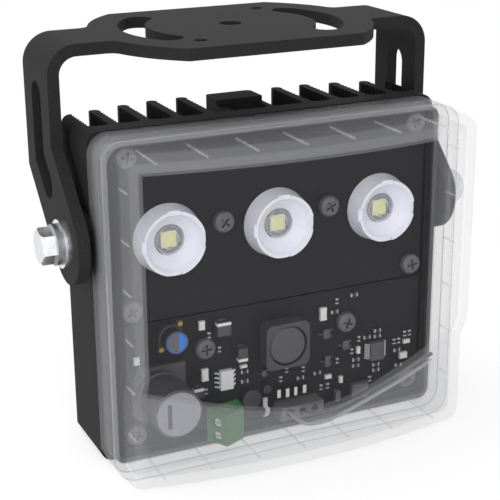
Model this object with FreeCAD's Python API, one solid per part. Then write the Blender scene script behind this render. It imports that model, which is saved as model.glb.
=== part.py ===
import FreeCAD, Part
import math
import os

V = FreeCAD.Vector

# LED flood light on a folded bracket. Units are millimetres.
# The lamp looks towards -Y, +Z is up. The origin is the centre of the middle
# hole of the bracket, in the flat top face that is bolted to a wall or beam.

# Lamp head outline, seen from the front
HEAD_HALF_X = 47.5
HEAD_TOP = -18.6
HEAD_BOTTOM = -104.6
HEAD_CORNER = 3.5

# Bracket, whose arms stand clear of the head on both sides
SHEET = 3.0
ARM_GAP = 1.9
ARM_HALF = HEAD_HALF_X + ARM_GAP + SHEET
STRAP_WIDTH = 20.8
BEND_RADIUS = 7.5
KINK_Z = -29.1
PIVOT_Y = -17.9
PIVOT_Z = -46.4
ARM_SLOT_WIDTH = 7.7
ARM_SLOT_TOP = -10.1
ARM_SLOT_REACH = 0.32
PLATE_RADIUS = 36.7
PLATE_HALF = 28.5
PLATE_FILLET = 3.0
CENTRE_HOLE = 5.8
SLOT_CIRCLE = 25.5
SLOT_WIDTH = 7.1
SLOT_HALF_ANGLE = 36.4
SLOT_TURN = -6.0
SMALL_HOLE = 3.3
SMALL_HOLE_ANGLE = 49.5

# Pivot bolts
BOLT = 5.0
BOLT_CLEARANCE = 0.6
BOLT_REACH = 12.0
HEX_ACROSS = 8.0
HEX_HEIGHT = 3.5
HEX_TURN = 14.0
WASHER_OUTER = 12.0
WASHER_THICK = 1.6
SPRING_OUTER = 10.2
SPRING_THICK = 1.6
RUNNING_FIT = 0.04
FIT_GAP = 0.3

# Depths through the lamp head, back to front
BASE_BACK = -17.3
COVER_BACK = -22.7
TRAY_FLOOR = -24.7
BOARD_FRONT = -26.5
BOARD_THICK = 1.3
RIM_FRONT = -27.3
SHOULDER = -28.5

# Heat sink
FIN_THICK = 2.8
FIN_FIRST = 13.7
FIN_LAST_INSET = 9.0
FIN_TIP = (2.6, 2.4, 1.0, -1.0)
FIN_PITCH = (HEAD_HALF_X - FIN_LAST_INSET - FIN_FIRST) / (len(FIN_TIP) - 1)
RIDGE_PITCH = 1.87
RIDGE_DEPTH = 0.45
ROOT_FILLET = 0.8
SIDE_WALL = 3.0
SIDE_TIP = -1.8
BOSS_HALF = 6.5
BOSS_TIP = 2.8
BOSS_STEP_Y = -5.0
BOSS_STEP = 1.3
INLET_X = 0.0
INLET_Y = -10.3
INLET_DIAMETER = 10.0
INLET_DEPTH = 8.0
INLET_PASSAGE = 4.0
PAD_RADIUS = 8.0
PAD_GAP = 0.05

# Cover, whose lip ends level with the sides and bottom of the body
LIP = 0.5
TOP_INSET = 0.2
COVER_HALF_X = HEAD_HALF_X - LIP
COVER_HALF_Z = (HEAD_TOP - TOP_INSET - HEAD_BOTTOM) / 2 - LIP
COVER_MID_Z = (HEAD_TOP - TOP_INSET + HEAD_BOTTOM) / 2
COVER_CORNER = 4.5
COVER_WALL = 2.5
SKIRT_WALL = 1.2
GROOVE_BACK = -31.0
GROOVE_FRONT = -32.7
LIP_FRONT = -35.7
DOME_FRONT = -51.5
DOME_RADIUS = 207.0
FRONT_FILLET = 4.25
STEP_DEPTH = 2.8
STEP_HEIGHT = 8.6
ARCH_Z = COVER_MID_Z - COVER_HALF_Z * 0.627
ARCH_ROUND = 5.4
ARCH_SLOPE = 0.40
RIB_THICK = 0.8
RIB_HEIGHT = 0.6
RIB_PITCH_X = 0.27 * COVER_HALF_X
RIB_PITCH_Z = 0.3 * COVER_HALF_Z
RIB_MID_Z = COVER_MID_Z - 0.135 * COVER_HALF_Z

# Rim of the body and its tray, set by the cover that laps over them
SKIRT_HALF_X = COVER_HALF_X + LIP - SKIRT_WALL
SKIRT_HALF_Z = COVER_HALF_Z + LIP - SKIRT_WALL
RIM_HALF_X = SKIRT_HALF_X - FIT_GAP
RIM_HALF_Z = SKIRT_HALF_Z - FIT_GAP
RIM_WALL_X = 2.7
RIM_WALL_TOP = 1.3
RIM_WALL_BOTTOM = 3.3
TRAY_HALF_X = RIM_HALF_X - RIM_WALL_X
TRAY_TOP = COVER_MID_Z + RIM_HALF_Z - RIM_WALL_TOP
TRAY_BOTTOM = COVER_MID_Z - RIM_HALF_Z + RIM_WALL_BOTTOM
GASKET_WIDTH = 1.1

# Boards: the seam splits the tray's height in a fixed share
BOARD_GAP = 0.3
BOARD_HALF_X = TRAY_HALF_X - BOARD_GAP
BOARD_TOP = TRAY_TOP - BOARD_GAP
BOARD_BOTTOM = TRAY_BOTTOM + BOARD_GAP
SEAM_SHARE = 0.4188
SEAM_GAP = 0.4
SEAM_Z = BOARD_BOTTOM + SEAM_SHARE * (BOARD_TOP - BOARD_BOTTOM)

# Layout of the driver board. It was drawn for a board this wide and high, and
# its places are stretched to the real one. The parts shrink with a smaller one.
LAYOUT_HALF_X = 43.0
LAYOUT_HEIGHT = 32.3
LAYOUT_BOTTOM = -99.5
STRETCH_X = BOARD_HALF_X / LAYOUT_HALF_X
STRETCH_Z = (SEAM_Z - SEAM_GAP / 2 - BOARD_BOTTOM) / LAYOUT_HEIGHT
SHRINK = min(STRETCH_X, STRETCH_Z, 1.0)


def layout(x, z):
    return x * STRETCH_X, BOARD_BOTTOM + (z - LAYOUT_BOTTOM) * STRETCH_Z


# Emitters and lens holders
EMITTER_INSET = 13.65
EMITTER_PITCH = BOARD_HALF_X - EMITTER_INSET
EMITTER_X = (-EMITTER_PITCH, 0.0, EMITTER_PITCH)
EMITTER_DROP = 1.55
EMITTER_Z = (SEAM_Z + BOARD_TOP) / 2 - EMITTER_DROP
HOLDER_BASE = 8.9
HOLDER_RIM = 8.1
HOLDER_HEIGHT = 5.2
HOLDER_WALL = 0.75
HOLDER_THROAT = 3.9
EMITTER_PAD = 0.4

# Screws
SCREW_HEAD = 5.5
SCREW_HEAD_HEIGHT = 1.9
SCREW_SHANK = 3.0
SCREW_LENGTH = 6.0
SCREW_INSET = 3.5
SCREW_X = BOARD_HALF_X - SCREW_INSET
CORNER_SCREWS = ((-SCREW_X, BOARD_TOP - 2.5), (SCREW_X, BOARD_TOP - 2.5),
                 (-SCREW_X, SEAM_Z + 3.8), (SCREW_X, SEAM_Z + 3.8),
                 layout(-39.5, -96.4), layout(39.5, -96.4))
INNER_SCREWS = ((-EMITTER_PITCH / 2, EMITTER_Z + 2.3), (EMITTER_PITCH / 2, EMITTER_Z + 2.3),
                layout(-20.3, -76.6), layout(20.3, -76.6))

os.makedirs("parts", exist_ok=True)


def export(shape, name):
    shape.exportStep("parts/" + name + ".step")


def fuse_all(shapes):
    whole = shapes[0].multiFuse(shapes[1:]) if len(shapes) > 1 else shapes[0]
    return whole.removeSplitter()


def cylinder(radius, height, base, axis):
    return Part.makeCylinder(radius, height, V(*base), V(*axis))


def box(x0, y0, z0, x1, y1, z1):
    return Part.makeBox(x1 - x0, y1 - y0, z1 - z0, V(x0, y0, z0))


def seat(shape, x, z):
    """Move a driver part that was built about x, z 0 to its place in the layout."""
    x, z = layout(x, z)
    if SHRINK < 1:
        shape.scale(SHRINK, V(0, BOARD_FRONT, 0))
    return shape.translated(V(x, 0, z))


def on_board(x, z, width, height, depth, lift=0.0):
    """Block that stands on the front face of the boards."""
    front = BOARD_FRONT - lift - depth
    return box(x - width / 2, front, z - height / 2,
               x + width / 2, BOARD_FRONT - lift, z + height / 2)


def rounded_prism(half_x, half_z, corner, back, front, mid_z=COVER_MID_Z):
    """Rounded rectangle about x 0 and mid_z, from back to front."""
    prism = box(-half_x, front, mid_z - half_z, half_x, back, mid_z + half_z)
    edges = [e for e in prism.Edges if abs(e.tangentAt(e.FirstParameter).y) > 0.9]
    return prism.makeFillet(corner, edges)


def polygon_prism(points, direction):
    wire = Part.makePolygon([V(*p) for p in points] + [V(*points[0])])
    return Part.Face(wire).extrude(V(*direction))


# The bracket: a U of sheet, trimmed from above to the plate outline and from
# the side to the outline of the arms.

def arm_direction():
    length = math.hypot(PIVOT_Y, PIVOT_Z - KINK_Z)
    return PIVOT_Y / length, (PIVOT_Z - KINK_Z) / length


def arm_band(half, top, reach, thickness, x):
    """Band of the given half width along the arm, straight then sloping."""
    dy, dz = arm_direction()
    end_y = reach * PIVOT_Y
    end_z = KINK_Z + reach * (PIVOT_Z - KINK_Z)
    lean = half * math.tan(math.acos(-dz) / 2)
    ny, nz = -dz * half, dy * half
    outline = [(x, -half, top), (x, half, top), (x, half, KINK_Z - lean),
               (x, end_y + ny, end_z + nz), (x, end_y - ny, end_z - nz),
               (x, -half, KINK_Z + lean)]
    band = polygon_prism(outline, (thickness, 0, 0))
    tip = cylinder(half, thickness, (x, end_y, end_z), (1, 0, 0))
    return band.fuse(tip).removeSplitter()


def arm_opening(thickness, x):
    half = ARM_SLOT_WIDTH / 2
    top = ARM_SLOT_TOP - half
    slot = arm_band(half, top, ARM_SLOT_REACH, thickness, x)
    crown = cylinder(half, thickness, (x, 0, top), (1, 0, 0))
    pivot = cylinder((BOLT + BOLT_CLEARANCE) / 2, thickness, (x, PIVOT_Y, PIVOT_Z), (1, 0, 0))
    return [slot.fuse(crown), pivot]


def plate_outline(height):
    disc = cylinder(PLATE_RADIUS, height, (0, 0, -height), (0, 0, 1))
    trim = box(-PLATE_RADIUS, -PLATE_HALF, -height, PLATE_RADIUS, PLATE_HALF, 0)
    strap = box(-ARM_HALF, -STRAP_WIDTH / 2, -height, ARM_HALF, STRAP_WIDTH / 2, 0)
    outline = disc.common(trim).fuse(strap).removeSplitter()
    meet = math.sqrt(PLATE_RADIUS ** 2 - (STRAP_WIDTH / 2) ** 2)
    corners = []
    for edge in outline.Edges:
        c = edge.CenterOfMass
        upright = abs(edge.tangentAt(edge.FirstParameter).z) > 0.9
        at_strap = abs(abs(c.x) - meet) < 0.1 and abs(abs(c.y) - STRAP_WIDTH / 2) < 0.1
        if upright and at_strap:
            corners.append(edge)
    return outline.makeFillet(PLATE_FILLET, corners)


def curved_slot(side, height):
    """Slot along the circle of holes, with round ends."""
    outer = SLOT_CIRCLE + SLOT_WIDTH / 2
    inner = SLOT_CIRCLE - SLOT_WIDTH / 2
    start = side - SLOT_HALF_ANGLE
    turn = 2 * SLOT_HALF_ANGLE
    ring = Part.makeCylinder(outer, height, V(0, 0, -height), V(0, 0, 1), turn)
    ring = ring.cut(cylinder(inner, height, (0, 0, -height), (0, 0, 1)))
    ring.rotate(V(0, 0, 0), V(0, 0, 1), start)
    pieces = [ring]
    for angle in (start, start + turn):
        x = SLOT_CIRCLE * math.cos(math.radians(angle))
        y = SLOT_CIRCLE * math.sin(math.radians(angle))
        pieces.append(cylinder(SLOT_WIDTH / 2, height, (x, y, -height), (0, 0, 1)))
    return fuse_all(pieces)


def mounting_bracket():
    reach = 3 * STRAP_WIDTH
    drop = -PIVOT_Z + STRAP_WIDTH
    outer = box(-ARM_HALF, -reach, -drop, ARM_HALF, reach, 0)
    inner = box(-ARM_HALF + SHEET, -reach, -drop, ARM_HALF - SHEET, reach, -SHEET)
    outer = outer.makeFillet(BEND_RADIUS, bend_edges(outer, 0))
    inner = inner.makeFillet(BEND_RADIUS - SHEET, bend_edges(inner, -SHEET))
    shell = outer.cut(inner)
    top = plate_outline(BEND_RADIUS)
    arms = arm_band(STRAP_WIDTH / 2, -BEND_RADIUS, 1.0, 2 * ARM_HALF, -ARM_HALF)
    bracket = shell.common(top.fuse(arms)).removeSplitter()
    holes = arm_opening(2 * ARM_HALF, -ARM_HALF)
    holes += [curved_slot(SLOT_TURN, SHEET), curved_slot(180 + SLOT_TURN, SHEET)]
    holes.append(cylinder(CENTRE_HOLE / 2, SHEET, (0, 0, -SHEET), (0, 0, 1)))
    for angle in (SMALL_HOLE_ANGLE, SMALL_HOLE_ANGLE + 180):
        x = SLOT_CIRCLE * math.cos(math.radians(angle))
        y = SLOT_CIRCLE * math.sin(math.radians(angle))
        holes.append(cylinder(SMALL_HOLE / 2, SHEET, (x, y, -SHEET), (0, 0, 1)))
    for hole in holes:
        bracket = bracket.cut(hole)
    return bracket


def bend_edges(block, top):
    """The two top edges of a block that run from front to back."""
    found = []
    for edge in block.Edges:
        along = abs(edge.tangentAt(edge.FirstParameter).y) > 0.9
        if along and abs(edge.CenterOfMass.z - top) < 0.01:
            found.append(edge)
    return found


# Pivot hardware on each side. The thread runs in a boss of the body.

def hex_prism(across, height, x, side):
    corner = across / math.sqrt(3)
    points = []
    for k in range(6):
        a = math.radians(60 * k + HEX_TURN)
        points.append((x, PIVOT_Y + corner * math.cos(a), PIVOT_Z + corner * math.sin(a)))
    return polygon_prism(points, (side * height, 0, 0))


def hex_head(x, side):
    """Hexagon with the usual chamfer on its outer corners."""
    corner = HEX_ACROSS / math.sqrt(3)
    prism = hex_prism(HEX_ACROSS, HEX_HEIGHT, x, side)
    slope = 0.5
    cone = Part.makeCone(corner + 2 * HEX_HEIGHT, corner - slope, 2 * HEX_HEIGHT + slope,
                         V(x - side * HEX_HEIGHT - side * slope, PIVOT_Y, PIVOT_Z), V(side, 0, 0))
    return prism.common(cone)


def pivot_bolt(side):
    seat = side * (ARM_HALF + WASHER_THICK + SPRING_THICK)
    head = hex_head(seat, side)
    length = abs(seat) - HEAD_HALF_X + BOLT_REACH
    shank = cylinder(BOLT / 2, length, (seat, PIVOT_Y, PIVOT_Z), (-side, 0, 0))
    return head.fuse(shank).removeSplitter()


def washer(side, start, outer, thick):
    x = side * start
    hole = BOLT / 2 + FIT_GAP
    disc = cylinder(outer / 2, thick, (x, PIVOT_Y, PIVOT_Z), (side, 0, 0))
    return disc.cut(cylinder(hole, thick, (x, PIVOT_Y, PIVOT_Z), (side, 0, 0)))


def spring_washer(side):
    """Split ring: a washer with one oblique cut through it."""
    start = ARM_HALF + WASHER_THICK
    ring = washer(side, start, SPRING_OUTER, SPRING_THICK)
    gap = 1.0
    x = side * start
    cut = box(min(x, x + side * SPRING_THICK), PIVOT_Y - gap / 2, PIVOT_Z,
              max(x, x + side * SPRING_THICK), PIVOT_Y + gap / 2, PIVOT_Z + SPRING_OUTER)
    cut.rotate(V(x, PIVOT_Y, PIVOT_Z), V(1, 0, 0), 200)
    return ring.cut(cut)


# The body: a ribbed extrusion along Z behind a solid base, with a tray in front.

def fin(x, tip):
    """One fin in plan: fillets at the root, ridges on both faces, round tip."""
    half = FIN_THICK / 2
    root = BASE_BACK - ROOT_FILLET
    right = [(x + half + ROOT_FILLET, root), (x + half + ROOT_FILLET, BASE_BACK)]
    for k in (1, 2, 3):
        a = math.radians(30 * k)
        right.append((x + half + ROOT_FILLET * (1 - math.sin(a)),
                      BASE_BACK + ROOT_FILLET * (1 - math.cos(a))))
    y = BASE_BACK + ROOT_FILLET
    while y + RIDGE_PITCH < tip - half:
        right.append((x + half - RIDGE_DEPTH, y + RIDGE_PITCH / 2))
        right.append((x + half, y + RIDGE_PITCH))
        y += RIDGE_PITCH
    for k in range(0, 4):
        a = math.radians(22.5 * k)
        right.append((x + half * math.cos(a), tip - half + half * math.sin(a)))
    left = [(2 * x - px, py) for px, py in reversed(right)]
    outline = right + [(x, tip)] + left
    points = [(px, py, HEAD_BOTTOM) for px, py in outline]
    return polygon_prism(points, (0, 0, HEAD_TOP - HEAD_BOTTOM))


def side_wall(side):
    """Outer wall: smooth outside, ridged inside, round back edge."""
    outer = side * HEAD_HALF_X
    inner = side * (HEAD_HALF_X - SIDE_WALL)
    radius = SIDE_WALL / 2
    outline = [(outer, COVER_BACK), (outer, SIDE_TIP - radius)]
    for k in range(1, 7):
        a = math.radians(30 * k)
        x = side * (HEAD_HALF_X - radius) + side * radius * math.cos(a)
        outline.append((x, SIDE_TIP - radius + radius * math.sin(a)))
    y = SIDE_TIP - radius
    while y - RIDGE_PITCH > BASE_BACK + ROOT_FILLET:
        outline.append((inner + side * RIDGE_DEPTH, y - RIDGE_PITCH / 2))
        outline.append((inner, y - RIDGE_PITCH))
        y -= RIDGE_PITCH
    for k in (3, 2, 1, 0):
        a = math.radians(30 * k)
        outline.append((inner - side * ROOT_FILLET * (1 - math.sin(a)),
                        BASE_BACK + ROOT_FILLET * (1 - math.cos(a))))
    outline.append((inner - side * ROOT_FILLET, COVER_BACK))
    points = [(px, py, HEAD_BOTTOM) for px, py in outline]
    return polygon_prism(points, (0, 0, HEAD_TOP - HEAD_BOTTOM))


def centre_boss():
    """Thick rib in the middle with the cable inlet in its lowered top."""
    boss = box(-BOSS_HALF, COVER_BACK, HEAD_BOTTOM, BOSS_HALF, BOSS_TIP, HEAD_TOP)
    rear = [e for e in boss.Edges
            if abs(e.CenterOfMass.y - BOSS_TIP) < 0.01
            and abs(e.tangentAt(e.FirstParameter).z) > 0.9]
    return boss.makeFillet(1.4, rear)


def pivot_boss(side):
    """Pad outside for the arm and a tapped block behind the side wall."""
    inner = HEAD_HALF_X - BOLT_REACH - 1.5
    block = box(min(side * inner, side * HEAD_HALF_X), COVER_BACK, PIVOT_Z - PAD_RADIUS,
                max(side * inner, side * HEAD_HALF_X), PIVOT_Y + 5.6, PIVOT_Z + PAD_RADIUS)
    pad = cylinder(PAD_RADIUS, ARM_GAP - PAD_GAP + 1.0, (side * (HEAD_HALF_X - 1.0), PIVOT_Y, PIVOT_Z),
                   (side, 0, 0))
    keep = box(-ARM_HALF, COVER_BACK, HEAD_BOTTOM, ARM_HALF, BOSS_TIP, HEAD_TOP)
    return [block, pad.common(keep)]


def inlet_cuts():
    """Lowered top of the boss, round pocket and the passage to the tray."""
    step = box(-BOSS_HALF, BASE_BACK, HEAD_TOP - BOSS_STEP, BOSS_HALF, BOSS_STEP_Y, HEAD_TOP)
    floor = HEAD_TOP - BOSS_STEP - INLET_DEPTH
    pocket = cylinder(INLET_DIAMETER / 2, INLET_DEPTH, (INLET_X, INLET_Y, floor), (0, 0, 1))
    height = floor + INLET_PASSAGE / 2 + 1.0
    passage = cylinder(INLET_PASSAGE / 2, INLET_Y - TRAY_FLOOR, (INLET_X, TRAY_FLOOR, height),
                       (0, 1, 0))
    return [step, pocket, passage]


def screw_hole(x, z, length, radius):
    return cylinder(radius, length, (x, BOARD_FRONT, z), (0, 1, 0))


def heat_sink_housing():
    pieces = [box(-HEAD_HALF_X, COVER_BACK, HEAD_BOTTOM, HEAD_HALF_X, BASE_BACK, HEAD_TOP)]
    for k, tip in enumerate(FIN_TIP):
        x = FIN_FIRST + k * FIN_PITCH
        pieces += [fin(x, tip), fin(-x, tip)]
    pieces += [side_wall(1), side_wall(-1), centre_boss()]
    for side in (1, -1):
        pieces += pivot_boss(side)
    body = fuse_all(pieces)
    body = body.common(body_envelope())
    for cut in inlet_cuts():
        body = body.cut(cut)
    rim = rounded_prism(RIM_HALF_X, RIM_HALF_Z, 3.5, COVER_BACK, RIM_FRONT)
    body = body.fuse(rim)
    tray = rounded_prism(TRAY_HALF_X, (TRAY_TOP - TRAY_BOTTOM) / 2, 1.2, TRAY_FLOOR, RIM_FRONT,
                         (TRAY_TOP + TRAY_BOTTOM) / 2)
    body = body.cut(tray)
    for x, z in CORNER_SCREWS + INNER_SCREWS:
        hole = SCREW_SHANK / 2 + RUNNING_FIT
        body = body.cut(screw_hole(x, z, SCREW_LENGTH + 0.6, hole))
    for side in (1, -1):
        start = side * ARM_HALF
        depth = ARM_HALF - HEAD_HALF_X + BOLT_REACH + 0.6
        bore = cylinder(BOLT / 2 + RUNNING_FIT, depth, (start, PIVOT_Y, PIVOT_Z), (-side, 0, 0))
        body = body.cut(bore)
    return body.removeSplitter()


def body_envelope():
    """Head outline with rounded corners, widened where the pivot pads stand."""
    mid = (HEAD_TOP + HEAD_BOTTOM) / 2
    half = (HEAD_TOP - HEAD_BOTTOM) / 2
    shell = box(-HEAD_HALF_X, COVER_BACK, mid - half, HEAD_HALF_X, BOSS_TIP, mid + half)
    edges = [e for e in shell.Edges if abs(e.tangentAt(e.FirstParameter).y) > 0.9]
    shell = shell.makeFillet(HEAD_CORNER, edges)
    middle = box(-ARM_HALF, COVER_BACK, PIVOT_Z - PAD_RADIUS, ARM_HALF, BOSS_TIP,
                 PIVOT_Z + PAD_RADIUS)
    return shell.fuse(middle)


# The cover: its front is one smooth sheet, domed from side to side, that drops
# back by STEP_DEPTH below a shallow arch.

def dome_depth(x, z):
    """Depth of the front sheet at x, z: a circular dome plus the arched step."""
    dome = DOME_FRONT + DOME_RADIUS - math.sqrt(DOME_RADIUS ** 2 - x * x)
    arch = ARCH_Z - ARCH_ROUND + math.hypot(ARCH_ROUND, ARCH_SLOPE * x)
    t = (arch + STEP_HEIGHT / 2 - z) / STEP_HEIGHT
    t = min(max(t, 0.0), 1.0)
    return dome + STEP_DEPTH * (1 - math.cos(math.pi * t)) / 2


def spread(low, high, count):
    """Pole positions of an even cubic spline, so that it runs evenly."""
    spans = count - 3
    knots = [0, 0, 0] + list(range(spans + 1)) + [spans] * 3
    return [low + (high - low) * sum(knots[i + 1:i + 4]) / (3 * spans) for i in range(count)]


def front_tool(offset):
    """Everything in front of the front sheet, moved back by offset."""
    columns, rows = 25, 57
    wide = COVER_HALF_X + 6
    low = COVER_MID_Z - COVER_HALF_Z - 6
    high = COVER_MID_Z + COVER_HALF_Z + 6
    poles = [[V(x, dome_depth(x, z) + offset, z) for z in spread(low, high, rows)]
             for x in spread(-wide, wide, columns)]
    sheet = Part.BSplineSurface()
    sheet.buildFromPolesMultsKnots(poles, ends_clamped(columns), ends_clamped(rows),
                                   range(columns - 2), range(rows - 2), False, False, 3, 3)
    return sheet.toShape().extrude(V(0, -40, 0))


def ends_clamped(count):
    """Knot multiplicities of an open cubic spline with this many poles."""
    return [4] + [1] * (count - 4) + [4]


def domed_block(half_x, half_z, corner, back, offset, edge_radius):
    """Rounded block cut by the front sheet, its front edge rounded over."""
    block = rounded_prism(half_x, half_z, corner, back, DOME_FRONT - 6)
    block = block.cut(front_tool(offset))
    middle = (back + DOME_FRONT) / 2
    edges = []
    for edge in block.Edges:
        bounds = edge.BoundBox
        if bounds.YMax < middle and bounds.YLength < 12:
            edges.append(edge)
    return block.makeFillet(edge_radius, edges)


def inner_ribs():
    """Low ribs along the depth, on the inside of the four walls."""
    inner_x = COVER_HALF_X - COVER_WALL
    inner_z = COVER_HALF_Z - COVER_WALL
    back = LIP_FRONT
    front = DOME_FRONT + 8.0
    ribs = []
    for k in range(-3, 4):
        x = k * RIB_PITCH_X
        for side in (1, -1):
            root = COVER_MID_Z + side * (inner_z + 0.3)
            crest = COVER_MID_Z + side * (inner_z - RIB_HEIGHT)
            ribs.append(box(x - RIB_THICK / 2, front, min(root, crest),
                            x + RIB_THICK / 2, back, max(root, crest)))
    for k in range(-2, 4):
        z = RIB_MID_Z + k * RIB_PITCH_Z
        for side in (1, -1):
            root = side * (inner_x + 0.3)
            crest = side * (inner_x - RIB_HEIGHT)
            ribs.append(box(min(root, crest), front, z - RIB_THICK / 2,
                            max(root, crest), back, z + RIB_THICK / 2))
    return ribs


def front_cover():
    lip_x = COVER_HALF_X + LIP
    lip_z = COVER_HALF_Z + LIP
    outer = domed_block(COVER_HALF_X, COVER_HALF_Z, COVER_CORNER, COVER_BACK, 0.0, FRONT_FILLET)
    skirt = rounded_prism(lip_x, lip_z, COVER_CORNER + LIP, COVER_BACK, GROOVE_BACK)
    ring = rounded_prism(lip_x, lip_z, COVER_CORNER + LIP, GROOVE_FRONT, LIP_FRONT)
    outer = outer.fuse(skirt).fuse(ring)
    inner = domed_block(COVER_HALF_X - COVER_WALL, COVER_HALF_Z - COVER_WALL,
                        COVER_CORNER - COVER_WALL, COVER_BACK, COVER_WALL, 1.6)
    lap = rounded_prism(SKIRT_HALF_X, SKIRT_HALF_Z, COVER_CORNER + LIP - SKIRT_WALL,
                        COVER_BACK, SHOULDER)
    cover = outer.cut(inner).cut(lap)
    for rib in inner_ribs():
        cover = cover.fuse(rib)
    return cover.removeSplitter()


def cover_gasket():
    half_x = COVER_HALF_X - COVER_WALL + 0.2
    half_z = COVER_HALF_Z - COVER_WALL + 0.3
    ring = rounded_prism(half_x + GASKET_WIDTH, half_z + GASKET_WIDTH, 3.1, RIM_FRONT, SHOULDER)
    return ring.cut(rounded_prism(half_x, half_z, 2.0, RIM_FRONT, SHOULDER))


# Boards and their fixings

def board(low, high):
    plate = box(-BOARD_HALF_X, BOARD_FRONT, low, BOARD_HALF_X, BOARD_FRONT + BOARD_THICK, high)
    for x, z in CORNER_SCREWS + INNER_SCREWS:
        plate = plate.cut(screw_hole(x, z, BOARD_THICK, SCREW_SHANK / 2 + FIT_GAP))
    return plate


def thermal_pad():
    """Thin soft sheet that fills the gap between the boards and the tray."""
    half = TRAY_HALF_X - 1.0
    pad = box(-half, BOARD_FRONT + BOARD_THICK, BOARD_BOTTOM, half, TRAY_FLOOR, BOARD_TOP)
    for x, z in CORNER_SCREWS + INNER_SCREWS:
        pad = pad.cut(screw_hole(x, z, BOARD_THICK * 2, SCREW_SHANK / 2 + FIT_GAP))
    return pad


def pan_screw(x, z, turn):
    """Pan head with a cross recess and a plain shank."""
    radius = SHRINK * SCREW_HEAD / 2
    head = cylinder(radius, SCREW_HEAD_HEIGHT, (x, BOARD_FRONT, z), (0, -1, 0))
    rim = [e for e in head.Edges
           if abs(e.CenterOfMass.y - (BOARD_FRONT - SCREW_HEAD_HEIGHT)) < 0.01]
    head = head.makeFillet(SCREW_HEAD_HEIGHT * 0.55, rim)
    front = BOARD_FRONT - SCREW_HEAD_HEIGHT
    deep = 0.9
    bar = box(x - 1.45, front, z - 0.3, x + 1.45, front + deep, z + 0.3)
    post = box(x - 0.3, front, z - 1.45, x + 0.3, front + deep, z + 1.45)
    cross = bar.fuse(post)
    cross.rotate(V(x, front, z), V(0, 1, 0), turn)
    head = head.cut(cross)
    return head.fuse(screw_hole(x, z, SCREW_LENGTH, SCREW_SHANK / 2)).removeSplitter()


def screw_group(places, first_turn):
    return Part.makeCompound([pan_screw(x, z, first_turn + 23 * k)
                              for k, (x, z) in enumerate(places)])


# Emitters and lens holders

def emitter(x):
    pad = cylinder(3.7, EMITTER_PAD, (x, BOARD_FRONT, EMITTER_Z), (0, -1, 0))
    chip = on_board(x, EMITTER_Z, 4.0, 4.0, 1.0)
    return pad.fuse(chip)


def lens_holder(x):
    """White cup: tapered outside, bowl inside, four notches in the rim."""
    front = BOARD_FRONT - HOLDER_HEIGHT
    bowl = BOARD_FRONT - 1.4
    points = [(HOLDER_THROAT, BOARD_FRONT), (HOLDER_BASE, BOARD_FRONT),
              (HOLDER_RIM, front), (HOLDER_RIM - HOLDER_WALL, front),
              (HOLDER_RIM - 1.5, front + 1.2), (HOLDER_THROAT, bowl)]
    wire = Part.makePolygon([V(x + r, y, EMITTER_Z) for r, y in points + points[:1]])
    cup = Part.Face(wire).revolve(V(x, 0, EMITTER_Z), V(0, 1, 0), 360)
    for angle in (0, 90, 180, 270):
        notch = box(x - 1.7, front, EMITTER_Z + HOLDER_RIM - HOLDER_WALL - 0.3,
                    x + 1.7, front + 0.7, EMITTER_Z + HOLDER_BASE)
        notch.rotate(V(x, 0, EMITTER_Z), V(0, 1, 0), angle)
        cup = cup.cut(notch)
    return cup


def lens(x):
    """Clear lens in the throat: a flat disc with a small dome over the chip."""
    back = BOARD_FRONT - 1.5
    thick = 0.7
    disc = cylinder(HOLDER_THROAT - FIT_GAP, thick, (x, back, EMITTER_Z), (0, -1, 0))
    ball = Part.makeSphere(2.6, V(x, back - thick + 1.2, EMITTER_Z))
    keep = cylinder(3.0, 3.0, (x, back, EMITTER_Z), (0, -1, 0))
    lens_body = disc.fuse(ball.common(keep))
    leg = []
    for k in range(3):
        a = math.radians(120 * k + 90)
        foot = (x + 3.2 * math.cos(a), BOARD_FRONT - EMITTER_PAD, EMITTER_Z + 3.2 * math.sin(a))
        leg.append(cylinder(0.3, 1.5 - EMITTER_PAD, foot, (0, -1, 0)))
    return fuse_all([lens_body] + leg)


# Driver parts. Each is built about x, z 0 and then seated at its place.

def group(rows, build):
    """One loose solid a row: x and z of the place, then two sizes for build."""
    return Part.makeCompound([seat(build(a, b), x, z) for x, z, a, b in rows])


def can_capacitor(size, radius, base, height):
    """Can on a plastic base, with a pressed groove near the base and a rim."""
    foot = on_board(0, 0, size, size, base)
    edges = [e for e in foot.Edges
             if abs(e.tangentAt(e.FirstParameter).y) > 0.9 and e.CenterOfMass.x < 0]
    foot = foot.makeChamfer(size * 0.18, edges)
    can = cylinder(radius, height - base, (0, BOARD_FRONT - base, 0), (0, -1, 0))
    rim = [e for e in can.Edges if e.CenterOfMass.y < BOARD_FRONT - height + 0.01
           and e.Length > radius]
    can = can.makeFillet(min(0.6, radius * 0.15), rim)
    middle = BOARD_FRONT - base - 0.16 * height
    groove = Part.makeTorus(radius + 0.1, 0.45, V(0, middle, 0), V(0, 1, 0))
    return foot.fuse(can.cut(groove))


INDUCTOR = (1.5, -78.6)
INDUCTOR_SIZE = 12.4
INDUCTOR_HEIGHT = 4.2
INDUCTOR_FLOOR = 0.8
INDUCTOR_WELL = 5.45
INDUCTOR_DRUM = 5.15


def power_inductor():
    foot = on_board(0, 0, INDUCTOR_SIZE, INDUCTOR_SIZE, INDUCTOR_HEIGHT)
    edges = [e for e in foot.Edges if abs(e.tangentAt(e.FirstParameter).y) > 0.9]
    foot = foot.makeChamfer(1.2, edges)
    front = BOARD_FRONT - INDUCTOR_HEIGHT
    well = cylinder(INDUCTOR_WELL, INDUCTOR_HEIGHT - INDUCTOR_FLOOR, (0, front, 0), (0, 1, 0))
    return foot.cut(well)


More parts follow.
